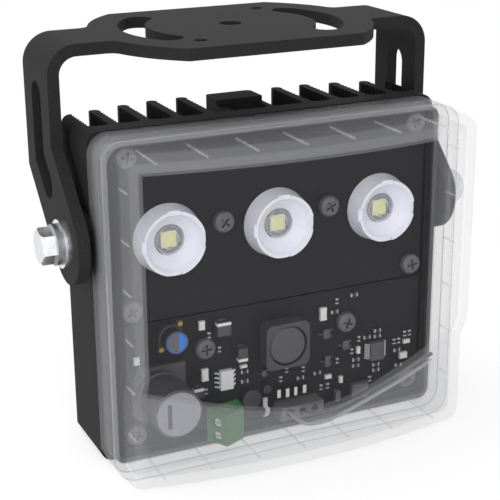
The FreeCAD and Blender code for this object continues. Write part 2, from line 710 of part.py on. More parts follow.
def inductor_core():
    height = INDUCTOR_HEIGHT - INDUCTOR_FLOOR - 0.2
    drum = cylinder(INDUCTOR_DRUM, height, (0, BOARD_FRONT - INDUCTOR_FLOOR, 0), (0, -1, 0))
    front = BOARD_FRONT - INDUCTOR_FLOOR - height
    rim = [e for e in drum.Edges if e.CenterOfMass.y < front + 0.1 and e.Length > 4]
    return drum.makeChamfer(0.4, rim)


# Two pole terminal block. Its plan is a lop-sided wedge: the screws sit in the
# short face that looks to the lower left, the wires enter on the other side.
TERMINAL = (-18.9, -93.36)
TERMINAL_HEIGHT = 8.6
TERMINAL_PLAN = ((-4.7, -9.0), (-1.7, -14.5), (4.1, -11.85), (4.6, -7.0), (-0.5, -8.0))
TERMINAL_BACK = (-0.5, 4.6)
TERMINAL_BACK_TOP = -0.5
TERMINAL_POLES = (1.3, -2.3)
TERMINAL_SCREW = 1.35
TERMINAL_SINK = 1.2


def terminal_block():
    """Wedge that stands on a lower back part, with a well and a mouth a pole."""
    half = TERMINAL_HEIGHT / 2
    wedge = polygon_prism([(x, BOARD_FRONT + y, -half) for x, y in TERMINAL_PLAN],
                          (0, 0, TERMINAL_HEIGHT))
    back = box(TERMINAL_BACK[0], BOARD_FRONT - 9.0, -half,
               TERMINAL_BACK[1], BOARD_FRONT, TERMINAL_BACK_TOP)
    block = wedge.fuse(back)
    start, normal = terminal_face()
    for z in TERMINAL_POLES:
        base = start + V(0, 0, z) - normal * TERMINAL_SINK
        block = block.cut(Part.makeCylinder(TERMINAL_SCREW, TERMINAL_SINK + 1.0, base, normal))
        block = block.cut(box(2.6, BOARD_FRONT - 10.4, z - 1.3, 5.0, BOARD_FRONT - 8.2, z + 1.3))
    return block.removeSplitter()


def terminal_face():
    """Middle of the screw face and the direction that it looks in."""
    (ax, ay), (bx, by) = TERMINAL_PLAN[:2]
    normal = V(by - ay, ax - bx, 0)
    normal.normalize()
    return V((ax + bx) / 2, BOARD_FRONT + (ay + by) / 2, 0), normal


def terminal_screws():
    start, normal = terminal_face()
    turn = math.degrees(math.atan2(normal.y, normal.x))
    screws = []
    for z in TERMINAL_POLES:
        base = start + V(0, 0, z) - normal * TERMINAL_SINK
        head = Part.makeCylinder(TERMINAL_SCREW - FIT_GAP, 0.8, base, normal)
        slot = box(-0.3, -2, -0.2, 0.3, 2, 0.2)
        slot.rotate(V(0, 0, 0), V(0, 0, 1), turn)
        slot.translate(base + normal * 0.8)
        screws.append(head.cut(slot))
    return Part.makeCompound(screws)


def gull_lead(x, z, side):
    """Flat leg: out of the body, down to the board and a small foot."""
    leg = box(min(x, x + side * 0.7), BOARD_FRONT - 0.75, z - 0.2,
              max(x, x + side * 0.7), BOARD_FRONT - 0.55, z + 0.2)
    drop = box(min(x + side * 0.5, x + side * 0.7), BOARD_FRONT - 0.75, z - 0.2,
               max(x + side * 0.5, x + side * 0.7), BOARD_FRONT, z + 0.2)
    foot = box(min(x + side * 0.5, x + side * 1.2), BOARD_FRONT - 0.2, z - 0.2,
               max(x + side * 0.5, x + side * 1.2), BOARD_FRONT, z + 0.2)
    return fuse_all([leg, drop, foot])


def leaded_chip(width, height, count, pitch):
    pieces = [on_board(0, 0, width, height, 1.4, 0.1)]
    for k in range(count):
        level = (k - (count - 1) / 2) * pitch
        pieces.append(gull_lead(width / 2 - 0.02, level, 1))
        pieces.append(gull_lead(0.02 - width / 2, level, -1))
    return fuse_all(pieces)


def transistor(width, height):
    """Three legged body: two legs on one side, one on the other."""
    half = width * 0.3
    pieces = [on_board(0, 0, 2 * half, height, 0.9, 0.05)]
    for level in (-height * 0.33, height * 0.33):
        pieces.append(gull_lead(half - 0.1, level, 1))
    pieces.append(gull_lead(0.1 - half, 0, -1))
    return fuse_all(pieces)


def end_capped(width, height, depth, cap):
    """Chip part along its longer side, ends a little proud of the middle."""
    if width > height:
        core = on_board(0, 0, width - 2 * cap, height - 0.1, depth - 0.06)
        ends = [on_board(s * (width - cap) / 2, 0, cap, height, depth) for s in (-1, 1)]
    else:
        core = on_board(0, 0, width - 0.1, height - 2 * cap, depth - 0.06)
        ends = [on_board(0, s * (height - cap) / 2, width, cap, depth) for s in (-1, 1)]
    return fuse_all([core] + ends)


def banded_diode(width, height):
    body = on_board(0, 0, width, height - 1.0, 1.9)
    return body.fuse(on_board(0, 0, width * 0.5, height, 0.3))


def round_coil(radius, height):
    """Low black drum with a rounded rim."""
    drum = cylinder(radius, height, (0, BOARD_FRONT, 0), (0, -1, 0))
    rim = [e for e in drum.Edges if e.CenterOfMass.y < BOARD_FRONT - height + 0.01
           and e.Length > radius]
    return drum.makeFillet(0.4, rim)


# Rows of the layout: x and z of the place, width and height of the part
DIODES = ((-15.4, -71.8, 3.7, 4.6), (-10.2, -79.9, 2.5, 4.6), (-22.6, -88.1, 2.6, 3.6))
WHITE_CHIPS = ((-21.0, -70.2, 1.6, 2.3), (-38.6, -76.6, 1.5, 1.9), (-20.4, -83.9, 1.8, 3.3),
               (-9.6, -83.6, 1.8, 0.9), (13.5, -73.2, 1.9, 3.5), (24.3, -85.5, 1.0, 1.9),
               (39.3, -85.7, 1.9, 1.1), (38.4, -89.7, 2.2, 1.8), (15.2, -91.5, 1.8, 1.1),
               (19.1, -93.1, 1.0, 1.8))
SMALL_UPRIGHT = ((-19.0, -73.3), (-16.2, -77.7), (-20.1, -88.7), (1.2, -89.5), (2.9, -87.2),
                 (7.8, -87.9), (17.6, -70.4), (24.5, -82.4), (22.4, -85.6), (18.0, -87.5),
                 (35.5, -85.2), (37.0, -85.2), (38.8, -83.5), (40.3, -83.5), (28.1, -94.8),
                 (13.2, -94.3), (15.2, -94.3))
SMALL_FLAT = ((-9.2, -85.3), (-9.2, -88.0), (7.0, -90.3), (17.0, -73.3), (22.8, -69.5),
              (27.0, -82.4), (30.2, -81.0), (30.2, -82.6), (23.7, -88.3), (23.7, -90.0),
              (30.0, -90.9), (30.0, -92.5), (36.5, -87.9), (37.1, -92.4), (12.0, -89.9))
TALL_CHIPS = ((-0.2, -92.7, 1.0, 2.3), (2.3, -92.9, 1.0, 2.5), (4.7, -92.9, 0.9, 2.4),
              (7.3, -92.8, 1.0, 2.3))
TRANSISTORS = ((-3.9, -86.7, 1.7, 1.7), (14.4, -79.0, 3.0, 2.5), (20.3, -83.2, 3.1, 2.4),
               (14.8, -86.9, 2.4, 3.0))
FILTERS = ((24.6, -97.2, 4.9, 4.2), (17.8, -97.4, 1.4, 2.9))

# Low drums beside the terminal block: place, radius and height
COILS = ((-8.1, -92.6, 2.7, 2.6), (-3.3, -91.0, 1.3, 1.8))

CONNECTOR = (5.4, -97.6)
CONNECTOR_WIDTH = 12.4
CONNECTOR_HEIGHT = 3.8
CONNECTOR_DEPTH = 5.0
CONNECTOR_PITCH = 3.6


def wire_connector():
    """Three way block with a round wire entry for each pole."""
    block = on_board(0, 0, CONNECTOR_WIDTH, CONNECTOR_HEIGHT, CONNECTOR_DEPTH)
    front = BOARD_FRONT - CONNECTOR_DEPTH
    for k in (-1, 0, 1):
        block = block.cut(cylinder(1.1, 3.5, (CONNECTOR_PITCH * k, front, 0), (0, 1, 0)))
    return block


# Two insulated leads run from the connector along the bottom of the cover and
# end loose beside its right wall. Rows: x, height above the board, z.
LEAD_RADIUS = 0.5
WHITE_LEAD = ((1.8, 1.5, -97.6), (1.8, 4.0, -97.6), (1.8, 7.5, -97.6), (2.4, 11.6, -97.8),
              (5.6, 12.2, -98.1), (9.4, 12.0, -97.9), (13.0, 11.9, -97.1), (18.6, 11.9, -95.2),
              (23.4, 11.9, -93.6), (29.1, 11.9, -91.5), (34.3, 11.9, -89.5), (38.8, 11.9, -87.5))
BLACK_LEAD = ((5.4, 1.5, -97.6), (5.4, 4.0, -97.6), (5.6, 6.6, -97.3), (6.8, 8.9, -96.9),
              (9.4, 10.4, -96.4), (13.4, 11.4, -95.0), (17.1, 11.9, -93.4), (20.6, 11.9, -92.0),
              (26.5, 11.9, -90.2), (29.5, 11.9, -89.0), (35.6, 11.9, -86.7), (40.2, 11.9, -85.1))


def inner_lead(rows):
    """Round lead on a smooth curve drawn towards the rows in turn."""
    path = []
    for x, rise, z in rows:
        x, z = layout(x, z)
        path.append(V(x, BOARD_FRONT - SHRINK * rise, z))
    curve = Part.BSplineCurve()
    curve.buildFromPoles(path, False, 3)
    spine = Part.Wire([curve.toShape()])
    ring = Part.Wire([Part.makeCircle(SHRINK * LEAD_RADIUS, path[0], V(0, -1, 0))])
    return spine.makePipeShell([ring], True, False)


def main():
    export(mounting_bracket(), "mounting_bracket")
    export(heat_sink_housing(), "heat_sink_housing")
    export(front_cover(), "front_cover")
    export(cover_gasket(), "cover_gasket")
    for side, word in ((-1, "left"), (1, "right")):
        export(pivot_bolt(side), "pivot_bolt_" + word)
        export(spring_washer(side), "spring_washer_" + word)
        export(washer(side, ARM_HALF, WASHER_OUTER, WASHER_THICK), "flat_washer_" + word)
    export(board(SEAM_Z + SEAM_GAP / 2, BOARD_TOP), "led_board")
    export(board(BOARD_BOTTOM, SEAM_Z - SEAM_GAP / 2), "driver_board")
    export(thermal_pad(), "thermal_pad")
    export(screw_group(CORNER_SCREWS, 12), "corner_screws")
    export(screw_group(INNER_SCREWS, 40), "inner_screws")
    for x, word in zip(EMITTER_X, ("left", "middle", "right")):
        export(emitter(x), "led_emitter_" + word)
        export(lens_holder(x), "lens_holder_" + word)
        export(lens(x), "lens_" + word)
    export(seat(can_capacitor(14.6, 6.3, 1.6, 15.0), -33.4, -85.8), "main_capacitor")
    export(seat(can_capacitor(6.6, 3.1, 0.8, 5.4), -29.6, -71.5), "small_capacitor")
    export(seat(power_inductor(), *INDUCTOR), "inductor_base")
    export(seat(inductor_core(), *INDUCTOR), "inductor_core")
    export(seat(terminal_block(), *TERMINAL), "terminal_block")
    export(seat(terminal_screws(), *TERMINAL), "terminal_screws")
    export(seat(leaded_chip(3.5, 5.3, 4, 1.27), -14.6, -86.2), "driver_chip")
    export(seat(leaded_chip(4.1, 5.1, 7, 0.65), 29.8, -86.6), "controller_chip")
    export(group(DIODES, banded_diode), "banded_diodes")
    export(group(WHITE_CHIPS, lambda w, h: end_capped(w, h, 0.9, 0.35)), "chip_capacitors")
    small = [(x, z, 0.8, 1.4) for x, z in SMALL_UPRIGHT]
    small += [(x, z, 1.9, 0.9) for x, z in SMALL_FLAT]
    export(group(small, lambda w, h: end_capped(w, h, 0.55, 0.3)), "chip_resistors")
    export(group(TALL_CHIPS, lambda w, h: on_board(0, 0, w, h, 2.2)), "tall_capacitors")
    export(group(TRANSISTORS, transistor), "small_transistors")
    export(group(COILS, round_coil), "round_coils")
    export(group(FILTERS, lambda w, h: on_board(0, 0, w, h, 1.6)), "filter_blocks")
    export(seat(wire_connector(), *CONNECTOR), "wire_connector")
    export(inner_lead(WHITE_LEAD), "lead_white")
    export(inner_lead(BLACK_LEAD), "lead_black")


main()
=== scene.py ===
# %% [markdown]
# # LED flood light: looks
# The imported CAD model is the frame. Every solid keeps its place, and this
# script gives it a finish, replaces the clear cover by a smoother shell, and
# adds the fine marks that are too small for the solids. Lengths are written in
# millimetres, and MM turns them into Blender's metres.

# %% Load the frame
import math
import bpy
import numpy as np
from mathutils import Matrix, Vector


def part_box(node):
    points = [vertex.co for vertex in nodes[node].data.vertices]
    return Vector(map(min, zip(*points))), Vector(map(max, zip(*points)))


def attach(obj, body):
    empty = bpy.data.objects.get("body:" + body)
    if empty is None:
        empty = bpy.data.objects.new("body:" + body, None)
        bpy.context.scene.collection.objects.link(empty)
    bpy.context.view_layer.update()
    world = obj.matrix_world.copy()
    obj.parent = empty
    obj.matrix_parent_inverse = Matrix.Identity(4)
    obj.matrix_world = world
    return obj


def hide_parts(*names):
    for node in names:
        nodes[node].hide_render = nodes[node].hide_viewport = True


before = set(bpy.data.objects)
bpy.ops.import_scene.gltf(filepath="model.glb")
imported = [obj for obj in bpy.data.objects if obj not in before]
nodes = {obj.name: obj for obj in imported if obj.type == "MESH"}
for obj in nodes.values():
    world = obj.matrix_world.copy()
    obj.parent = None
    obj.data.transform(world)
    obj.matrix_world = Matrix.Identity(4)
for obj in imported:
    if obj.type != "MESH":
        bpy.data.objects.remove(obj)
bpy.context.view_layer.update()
MM = 0.001

# %% [markdown]
# ## Camera
# The photograph looks at the lamp from its left and from above. A camera is
# a place and three unit vectors: to the right, up, and back out of the
# picture. It could be aimed at a target object, but the vectors are worked out
# from three angles here, because the roll then is a number like the others.

# %% Camera
AZIMUTH, ELEVATION, ROLL = -24.912, 19.212, -0.419
EYE_MM = (-137.643, -307.233, 55.434)
FOCAL_PX, PICTURE_PX, SENSOR_MM = 1307.161, 500, 36.0
CLIP_START = 0.01


def camera_axes(azimuth, elevation, roll):
    """Right, up and back vectors: yaw, pitch, then a turn about the view axis.

    back = (sin a cos e, -cos a cos e, sin e), right = (cos a, sin a, 0),
    up = back x right.
    """
    a, e, r = (math.radians(v) for v in (azimuth, elevation, roll))
    back = Vector((math.sin(a) * math.cos(e), -math.cos(a) * math.cos(e), math.sin(e)))
    right = Vector((math.cos(a), math.sin(a), 0.0))
    up = back.cross(right)
    level_right = right * math.cos(r) + up * math.sin(r)
    level_up = up * math.cos(r) - right * math.sin(r)
    return level_right, level_up, back


def make_camera():
    """Camera whose focal length is given in pixels: lens = focal * sensor / picture."""
    right, up, back = camera_axes(AZIMUTH, ELEVATION, ROLL)
    data = bpy.data.cameras.new("camera")
    data.sensor_width = SENSOR_MM
    data.lens = FOCAL_PX * SENSOR_MM / PICTURE_PX
    data.clip_start = CLIP_START
    camera = bpy.data.objects.new("camera", data)
    turn = Matrix((right, up, back)).transposed().to_4x4()
    camera.matrix_world = Matrix.Translation(Vector(EYE_MM) * MM) @ turn
    bpy.context.scene.collection.objects.link(camera)
    bpy.context.scene.camera = camera
    return camera


camera = make_camera()
print("lens", round(camera.data.lens, 1), "mm")

# %% [markdown]
# ## Colours and nodes
# A finish is a small graph of shader nodes. Written out socket by socket it
# would be hard to read, so a colour is given as an sRGB hex value that is
# turned to linear once, and a node is added with its settings and its links in
# one call.

# %% Colours and nodes
SRGB_KNEE = 0.04045


def hex_linear(code):
    """sRGB hex to linear: c / 12.92 below 0.04045, else ((c + 0.055) / 1.055) ^ 2.4."""
    channels = [int(code[i:i + 2], 16) / 255 for i in (1, 3, 5)]
    linear = [c / 12.92 if c <= SRGB_KNEE else ((c + 0.055) / 1.055) ** 2.4 for c in channels]
    return (*linear, 1.0)


def add_node(tree, kind, settings=None, inputs=None):
    """One node; an input is a plain value or the output socket to link."""
    node = tree.nodes.new(kind)
    for name, value in (settings or {}).items():
        setattr(node, name, value)
    for name, value in (inputs or {}).items():
        if isinstance(value, bpy.types.NodeSocket):
            tree.links.new(value, node.inputs[name])
        else:
            node.inputs[name].default_value = value
    return node


def new_finish(name):
    """Empty material with a Principled shader joined to its output."""
    material = bpy.data.materials.new(name)
    material.use_nodes = True
    tree = material.node_tree
    tree.nodes.clear()
    shader = add_node(tree, "ShaderNodeBsdfPrincipled")
    add_node(tree, "ShaderNodeOutputMaterial", inputs={"Surface": shader.outputs["BSDF"]})
    return material, tree, shader


def object_place(tree, scale=(1, 1, 1)):
    """Object coordinates in metres, stretched by scale."""
    place = add_node(tree, "ShaderNodeTexCoord")
    return add_node(tree, "ShaderNodeMapping",
                    inputs={"Vector": place.outputs["Object"], "Scale": scale}).outputs["Vector"]


print("white is", hex_linear("#ffffff"))

# %% [markdown]
# ## A finish with a grain
# Powder coat, anodising and moulded plastic all have a fine grain in which
# colour, gloss and height change together. One noise of a stated width drives
# all three, which is truer than three separate noises.

# %% Grain finish
RAMP_LOW, RAMP_HIGH = 0.3, 0.7
GRAIN_DETAIL = 3.0
ROUGH_SWING = 0.06
GRAIN_HEIGHT = 0.05


def grain_finish(name, dark, light, rough, grain, bump=0.15, stretch=(1, 1, 1), metal=0.0,
                 specular=0.5):
    """Colour from dark to light, gloss round rough and bump, by a noise grain mm wide."""
    material, tree, shader = new_finish(name)
    noise = add_node(tree, "ShaderNodeTexNoise",
                     inputs={"Vector": object_place(tree, stretch), "Scale": 1 / (grain * MM),
                             "Detail": GRAIN_DETAIL})
    height = noise.outputs["Fac"]
    colour = add_node(tree, "ShaderNodeValToRGB", inputs={"Fac": height})
    for stop, position, code in zip(colour.color_ramp.elements, (RAMP_LOW, RAMP_HIGH),
                                    (dark, light)):
        stop.color = hex_linear(code)
        stop.position = position
    gloss = add_node(tree, "ShaderNodeMapRange",
                     inputs={"Value": height, "To Min": rough - ROUGH_SWING,
                             "To Max": rough + ROUGH_SWING})
    relief = add_node(tree, "ShaderNodeBump",
                      inputs={"Height": height, "Strength": bump, "Distance": GRAIN_HEIGHT * MM})
    tree.links.new(colour.outputs["Color"], shader.inputs["Base Color"])
    tree.links.new(gloss.outputs["Result"], shader.inputs["Roughness"])
    tree.links.new(relief.outputs["Normal"], shader.inputs["Normal"])
    shader.inputs["Metallic"].default_value = metal
    shader.inputs["Specular IOR Level"].default_value = specular
    return material


print("gloss swings by", ROUGH_SWING)

# %% [markdown]
# ## Finishes of the metal parts
# The bracket is folded steel under a fine textured powder coat. The body is an
# extrusion, black anodised, with faint lines along the press direction, so its
# noise is stretched that way. Both are matt and mirror little. The bolts and
# washers are zinc plated steel, the screws a duller zinc.

# %% Metal finishes
# Polyester powder melted on folded steel: a fine matt grain that mirrors hardly at all.
powder_coat = grain_finish("powder_coated_steel", "#2c2c2d", "#343435", 0.62, 0.5, bump=0.08,
                           specular=0.05)
# Dyed black oxide on pressed aluminium: deep matt black, faint lines along Z.
anodised = grain_finish("black_anodised_aluminium", "#232324", "#2a2a2b", 0.58, 0.35, bump=0.10,
                        stretch=(1, 1, 0.04), specular=0.05)
# Bright zinc on turned steel: a soft mirror with light flats.
zinc_plate = grain_finish("bright_zinc_plate", "#d4d5d8", "#e4e5e8", 0.24, 1.6, bump=0.01,
                          metal=1.0)
# Zinc on hardened spring steel: darker and duller than the bolt.
spring_plate = grain_finish("plated_spring_steel", "#7d7e82", "#8d8e92", 0.34, 1.2, bump=0.02,
                            metal=1.0)
# Dull zinc on pressed screws: even grey, no mirror.
screw_plate = grain_finish("dull_zinc_screw", "#58585b", "#646468", 0.5, 0.6, bump=0.10,
                           metal=0.15)
# Tinned copper: silver with a soft gloss.
tin_plate = grain_finish("tinned_copper", "#a8a9ab", "#cfd0d2", 0.32, 0.4, bump=0.05, metal=0.7)
print("finishes", len(bpy.data.materials))

# %% [markdown]
# ## Finishes of the boards and their moulded parts
# The solder mask is matt black with a very fine orange peel. Cases are moulded
# in black or grey epoxy, the terminal block in green nylon, and the cans wear
# a dark shrunk sleeve. Plain greys would look like card, so each keeps a faint
# grain of its own width.

# %% Board finishes
# Cured black lacquer on the boards: flat and nearly without a highlight.
solder_mask = grain_finish("black_solder_mask", "#232325", "#262628", 0.5, 1.6, bump=0.01,
                           specular=0.12)
# Filled silicone sheet: dull grey.
soft_pad = grain_finish("soft_pad", "#6d6e72", "#7a7b7f", 0.8, 1.0)
# Moulded silicone: dark grey, soft highlights.
seal_rubber = grain_finish("black_silicone", "#3a3a3d", "#444447", 0.6, 0.6)
# Pressed black epoxy: the darkest of the cases.
moulded_black = grain_finish("moulded_black_epoxy", "#29292b", "#303033", 0.5, 0.3)
# Rougher epoxy of the diodes, a shade lighter.
diode_case = grain_finish("diode_epoxy", "#3e3e41", "#4a4a4d", 0.5, 0.25, bump=0.2)
# Grey epoxy of the small transistors and the controller.
dark_case = grain_finish("dark_chip_epoxy", "#4c4c4f", "#565659", 0.55, 0.3, bump=0.08)
# Moulded frame round the inductor, smooth and dark.
inductor_case = grain_finish("inductor_moulding", "#3c3c40", "#434348", 0.5, 0.5, bump=0.05)
# Dark sleeve of the round coils, with a little gloss.
coil_case = grain_finish("coil_sleeve", "#222224", "#29292b", 0.45, 0.5, bump=0.05)
# Pale moulded case of the driver chip.
pale_case = grain_finish("pale_chip_case", "#d2d2d5", "#dcdcdf", 0.5, 0.5, bump=0.04)
# Sintered ferrite: a dark ceramic with a dry surface.
ferrite = grain_finish("sintered_ferrite", "#47474c", "#4f4f54", 0.5, 0.3, bump=0.10)
# Moulded green nylon: a waxy green.
green_nylon = grain_finish("green_nylon", "#1e6426", "#27712e", 0.42, 0.6, bump=0.06)
# Mid grey moulding of the filter blocks.
filter_case = grain_finish("grey_moulded_case", "#59595c", "#67676a", 0.5, 0.4)
# Mid grey nylon of the connector.
grey_nylon = grain_finish("grey_nylon", "#5a5a5e", "#6c6c70", 0.5, 0.5)
# White insulation, painted mid grey: painted shade for the dim light it sits in behind the frosted
# wall.
white_lead_painted_shade = grain_finish("white_insulation_painted_shade", "#8e8e91", "#9b9b9e", 0.4, 0.6)
# Black insulation with a faint gloss.
black_lead = grain_finish("black_insulation", "#2c2c2e", "#363638", 0.4, 0.6)
# Sleeve shrunk on the large can: dark, with a long soft highlight.
can_sleeve = grain_finish("dark_shrink_sleeve", "#3f3f44", "#47474c", 0.4, 0.8, bump=0.03)
# Small can and its base: nearly black and smooth.
bare_can = grain_finish("dark_small_can", "#29292c", "#333337", 0.35, 0.5, bump=0.03)
print("finishes", len(bpy.data.materials))

# %% [markdown]
# ## Finishes of ends, prints and optics
# Ceramic chips are pale with bright soldered ends, resistors have a dark
# glaze, and the cans carry coloured faces. The cups that hold the lenses are
# glossy white, and the emitter is a pale yellow phosphor on a grey pad. They
# are separate finishes, because in reality each is another material.

# %% Finishes of the small marks
# Fired ceramic of the chip capacitors: warm white and dry.
pale_ceramic = grain_finish("pale_ceramic", "#d6d5d3", "#e2e1df", 0.5, 0.4, bump=0.04)
# Glaze over a resistor: dark and a little glossy.
chip_middle = grain_finish("dark_resistor_glaze", "#2c2c2f", "#343437", 0.4, 0.3, bump=0.04)
# Molten solder gone solid: bright silver.
chip_end = grain_finish("bright_solder_end", "#bdbdc0", "#d0d0d3", 0.4, 0.3, bump=0.05,
                        metal=0.2)
# Printed band at a diode's cathode: plain white.
band_white = grain_finish("white_cathode_band", "#dadadc", "#e6e6e8", 0.5, 0.4, bump=0.03)
# Pressed aluminium face of the large can: pale satin grey.
can_face = grain_finish("pressed_can_face", "#94949b", "#9f9fa6", 0.45, 0.8, bump=0.04,
                        metal=0.2)
# Blue sleeve that shows as a ring round the small can.
blue_print = grain_finish("blue_can_print", "#3a5c98", "#4568a6", 0.4, 0.5, bump=0.02)
# Blue half of the small can's face.
bright_blue = grain_finish("bright_blue_mark", "#2f72c6", "#3c80d4", 0.4, 0.5, bump=0.02)
# The other half: a warm grey.
brown_grey = grain_finish("brown_grey_face", "#5d5753", "#69625e", 0.5, 0.5, bump=0.03)
# Plated solder tabs: dull yellow metal.
brass_tab = grain_finish("brass_tab", "#9a8440", "#b39a50", 0.35, 0.4, bump=0.04, metal=0.5)
# Polished white moulding: bright, with soft reflections.
holder_white = grain_finish("white_optic_holder", "#ebecf8", "#f1f2fc", 0.30, 1.5, bump=0.01)
# The cup's rim, which catches more light.
rim_white = grain_finish("bright_moulded_rim", "#e9eaf2", "#f3f3fa", 0.30, 1.0, bump=0.02)
# Ceramic base of the emitter: mid grey.
emitter_pad = grain_finish("grey_emitter_pad", "#8b8c92", "#97989e", 0.5, 0.5, bump=0.03)
# Phosphor in clear silicone: pale yellow and matt.
phosphor = grain_finish("pale_yellow_phosphor", "#faf5b6", "#fdf9c4", 0.55, 0.4, bump=0.03)
print("finishes", len(bpy.data.materials))

# %% [markdown]
# ## Where the cover is frosted
# The cover is clear in its window and etched elsewhere. Its parts could be
# separate pieces with separate finishes, but seams would show, so four numbers
# are stored on the points of one shell. frost is 1 on the walls and the rounded
# front edge, edge is 1 on the rounded edge alone, lip is 1 on the lap round the
# body, and above_arch is the height in millimetres over the curve where the
# window ends. A step turns each number into a mask. The edge mask also gives the
# rounded edge a lighter tint, a painted highlight.

# %% Masks from stored numbers
WALL_STEP, SOFT_STEP, ARCH_STEP = (0.45, 0.55), (0.3, 0.7), (0.05, -0.05)


def step_node(tree, name, low, high):
    """0 below low, 1 above high, for a number stored on the points."""
    value = add_node(tree, "ShaderNodeAttribute", {"attribute_name": name}).outputs["Fac"]
    return add_node(tree, "ShaderNodeMapRange",
                    inputs={"Value": value, "From Min": low, "From Max": high}).outputs["Result"]


print("steps", WALL_STEP, SOFT_STEP, ARCH_STEP)

# %% [markdown]
# ## Clear polycarbonate
# The cover is moulded clear polycarbonate, and its edge is etched to hide the
# rim. It could be drawn with real refraction, but a thin wall bends hardly any
# light, so a pale surface of low opacity shows the parts behind it as the
# photograph does. The window only has a trace of veil. The etching's grit is
# drawn coarser than the real one, because finer grit wouldn't show.

# %% Clear polycarbonate
GRIT_WIDTH, GRIT_DETAIL, GRIT_SWING = 0.9, 2.0, 0.05
GRIT_BUMP, GRIT_HEIGHT = 0.04, 0.03
POLYCARBONATE_IOR = 1.58


def clear_plastic(name, tint, edge_highlight_tint, opacities, rough_window, rough_frost):
    """Opacity of window, frosted face, wall, rounded edge and lip; tint and gloss follow.

    veil = window + below * (face - window), then each mask m with its value v
    turns it into veil + m * (v - veil).
    """
    window, face, wall, rounded, lap = opacities
    material, tree, shader = new_finish(name)
    walls = step_node(tree, "frost", *WALL_STEP)
    below = step_node(tree, "above_arch", *ARCH_STEP)
    edge = step_node(tree, "edge", *SOFT_STEP)
    lip = step_node(tree, "lip", *SOFT_STEP)
    grit = add_node(tree, "ShaderNodeTexNoise",
                    inputs={"Vector": object_place(tree), "Scale": 1 / (GRIT_WIDTH * MM),
                            "Detail": GRIT_DETAIL})
    veil = add_node(tree, "ShaderNodeMapRange",
                    inputs={"Value": below, "To Min": window, "To Max": face}).outputs["Result"]
    for mask, value in ((walls, wall), (edge, rounded), (lip, lap)):
        veil = add_node(tree, "ShaderNodeMix",
                        inputs={"Factor": mask, "A": veil, "B": value}).outputs["Result"]
    frost = add_node(tree, "ShaderNodeMath", {"operation": "MAXIMUM"}, {0: walls, 1: below})
    gloss = add_node(tree, "ShaderNodeMapRange",
                     inputs={"Value": frost.outputs["Value"], "To Min": rough_window,
                             "To Max": rough_frost})
    speck = add_node(tree, "ShaderNodeMapRange",
                     inputs={"Value": grit.outputs["Fac"], "To Min": 1 - GRIT_SWING,
                             "To Max": 1 + GRIT_SWING})
    opacity = add_node(tree, "ShaderNodeMath", {"operation": "MULTIPLY"},
                       {0: veil, 1: speck.outputs["Result"]})
    # The rounded edge takes a lighter tint, a painted highlight along the front edge.
    colour = add_node(tree, "ShaderNodeMix", {"data_type": "RGBA"},
                      {"Factor": edge, 6: hex_linear(tint), 7: hex_linear(edge_highlight_tint)})
    relief = add_node(tree, "ShaderNodeBump",
                      inputs={"Height": grit.outputs["Fac"], "Strength": GRIT_BUMP,
                              "Distance": GRIT_HEIGHT * MM})
    tree.links.new(colour.outputs[2], shader.inputs["Base Color"])
    tree.links.new(opacity.outputs["Value"], shader.inputs["Alpha"])
    tree.links.new(gloss.outputs["Result"], shader.inputs["Roughness"])
    tree.links.new(relief.outputs["Normal"], shader.inputs["Normal"])
    shader.inputs["IOR"].default_value = POLYCARBONATE_IOR
    return material


COVER_OPACITIES = (0.012, 0.14, 0.115, 0.14, 0.28)
RIB_OPACITY = 0.2
# The second tint, on the rounded edge, is a painted highlight.
cover_plastic = clear_plastic("frosted_polycarbonate", "#d4d5da", "#eeeff4", COVER_OPACITIES,
                              0.12, 0.42)
# The ribs take pure white, a painted highlight that makes them paler than the cover.
rib_plastic_painted_highlight = clear_plastic("polycarbonate_rib_painted_highlight", "#ffffff", "#ffffff", (RIB_OPACITY,) * 5,
                            0.3, 0.3)
print("opacity of the window", COVER_OPACITIES[0], "and of the lip", COVER_OPACITIES[-1])

# %% [markdown]
# ## Clear acrylic lens
# A lens is a turned form of clear acrylic. Light passes through its middle and
# is bent aside where the rings turn away, which the eye sees as grey rings. A
# ramp over the distance from the lens's own axis draws those rings without the
# noise that real refraction brings.

# %% Lens finish
LENS_PROFILE = ((0.0, 0.02), (1.5, 0.03), (2.0, 0.10), (2.3, 0.5), (2.45, 0.06), (3.3, 0.08),
                (3.6, 0.35))
LENS_TINT, LENS_ROUGH, ACRYLIC_IOR = "#eef0f6", 0.08, 1.49


def lens_finish(name, centre, profile):
    """Opacity by radius in mm from the axis at centre, with r = sqrt(dx^2 + dz^2)."""
    material, tree, shader = new_finish(name)
    flat = object_place(tree, (1, 0, 1))
    axis = (centre[0] * MM, 0.0, centre[1] * MM)
    radius = add_node(tree, "ShaderNodeVectorMath", {"operation": "DISTANCE"},
                      {0: flat, 1: axis}).outputs["Value"]
    reach = profile[-1][0]
    share = add_node(tree, "ShaderNodeMapRange", inputs={"Value": radius, "From Max": reach * MM})
    ramp = add_node(tree, "ShaderNodeValToRGB", inputs={"Fac": share.outputs["Result"]})
    stops = ramp.color_ramp.elements
    while len(stops) < len(profile):
        stops.new(0.5)
    for stop, (at, value) in zip(stops, profile):
        stop.position = at / reach
        stop.color = (value, value, value, 1)
    tree.links.new(ramp.outputs["Color"], shader.inputs["Alpha"])
    shader.inputs["Base Color"].default_value = hex_linear(LENS_TINT)
    shader.inputs["Roughness"].default_value = LENS_ROUGH
    shader.inputs["IOR"].default_value = ACRYLIC_IOR
    return material


print("rings out to", LENS_PROFILE[-1][0], "mm")

# %% [markdown]
# ## Finishes on the solids
# Each CAD node is one material in reality, so it takes one finish for its
# whole surface. A table from node to finish is easier to check than faces
# picked one at a time.

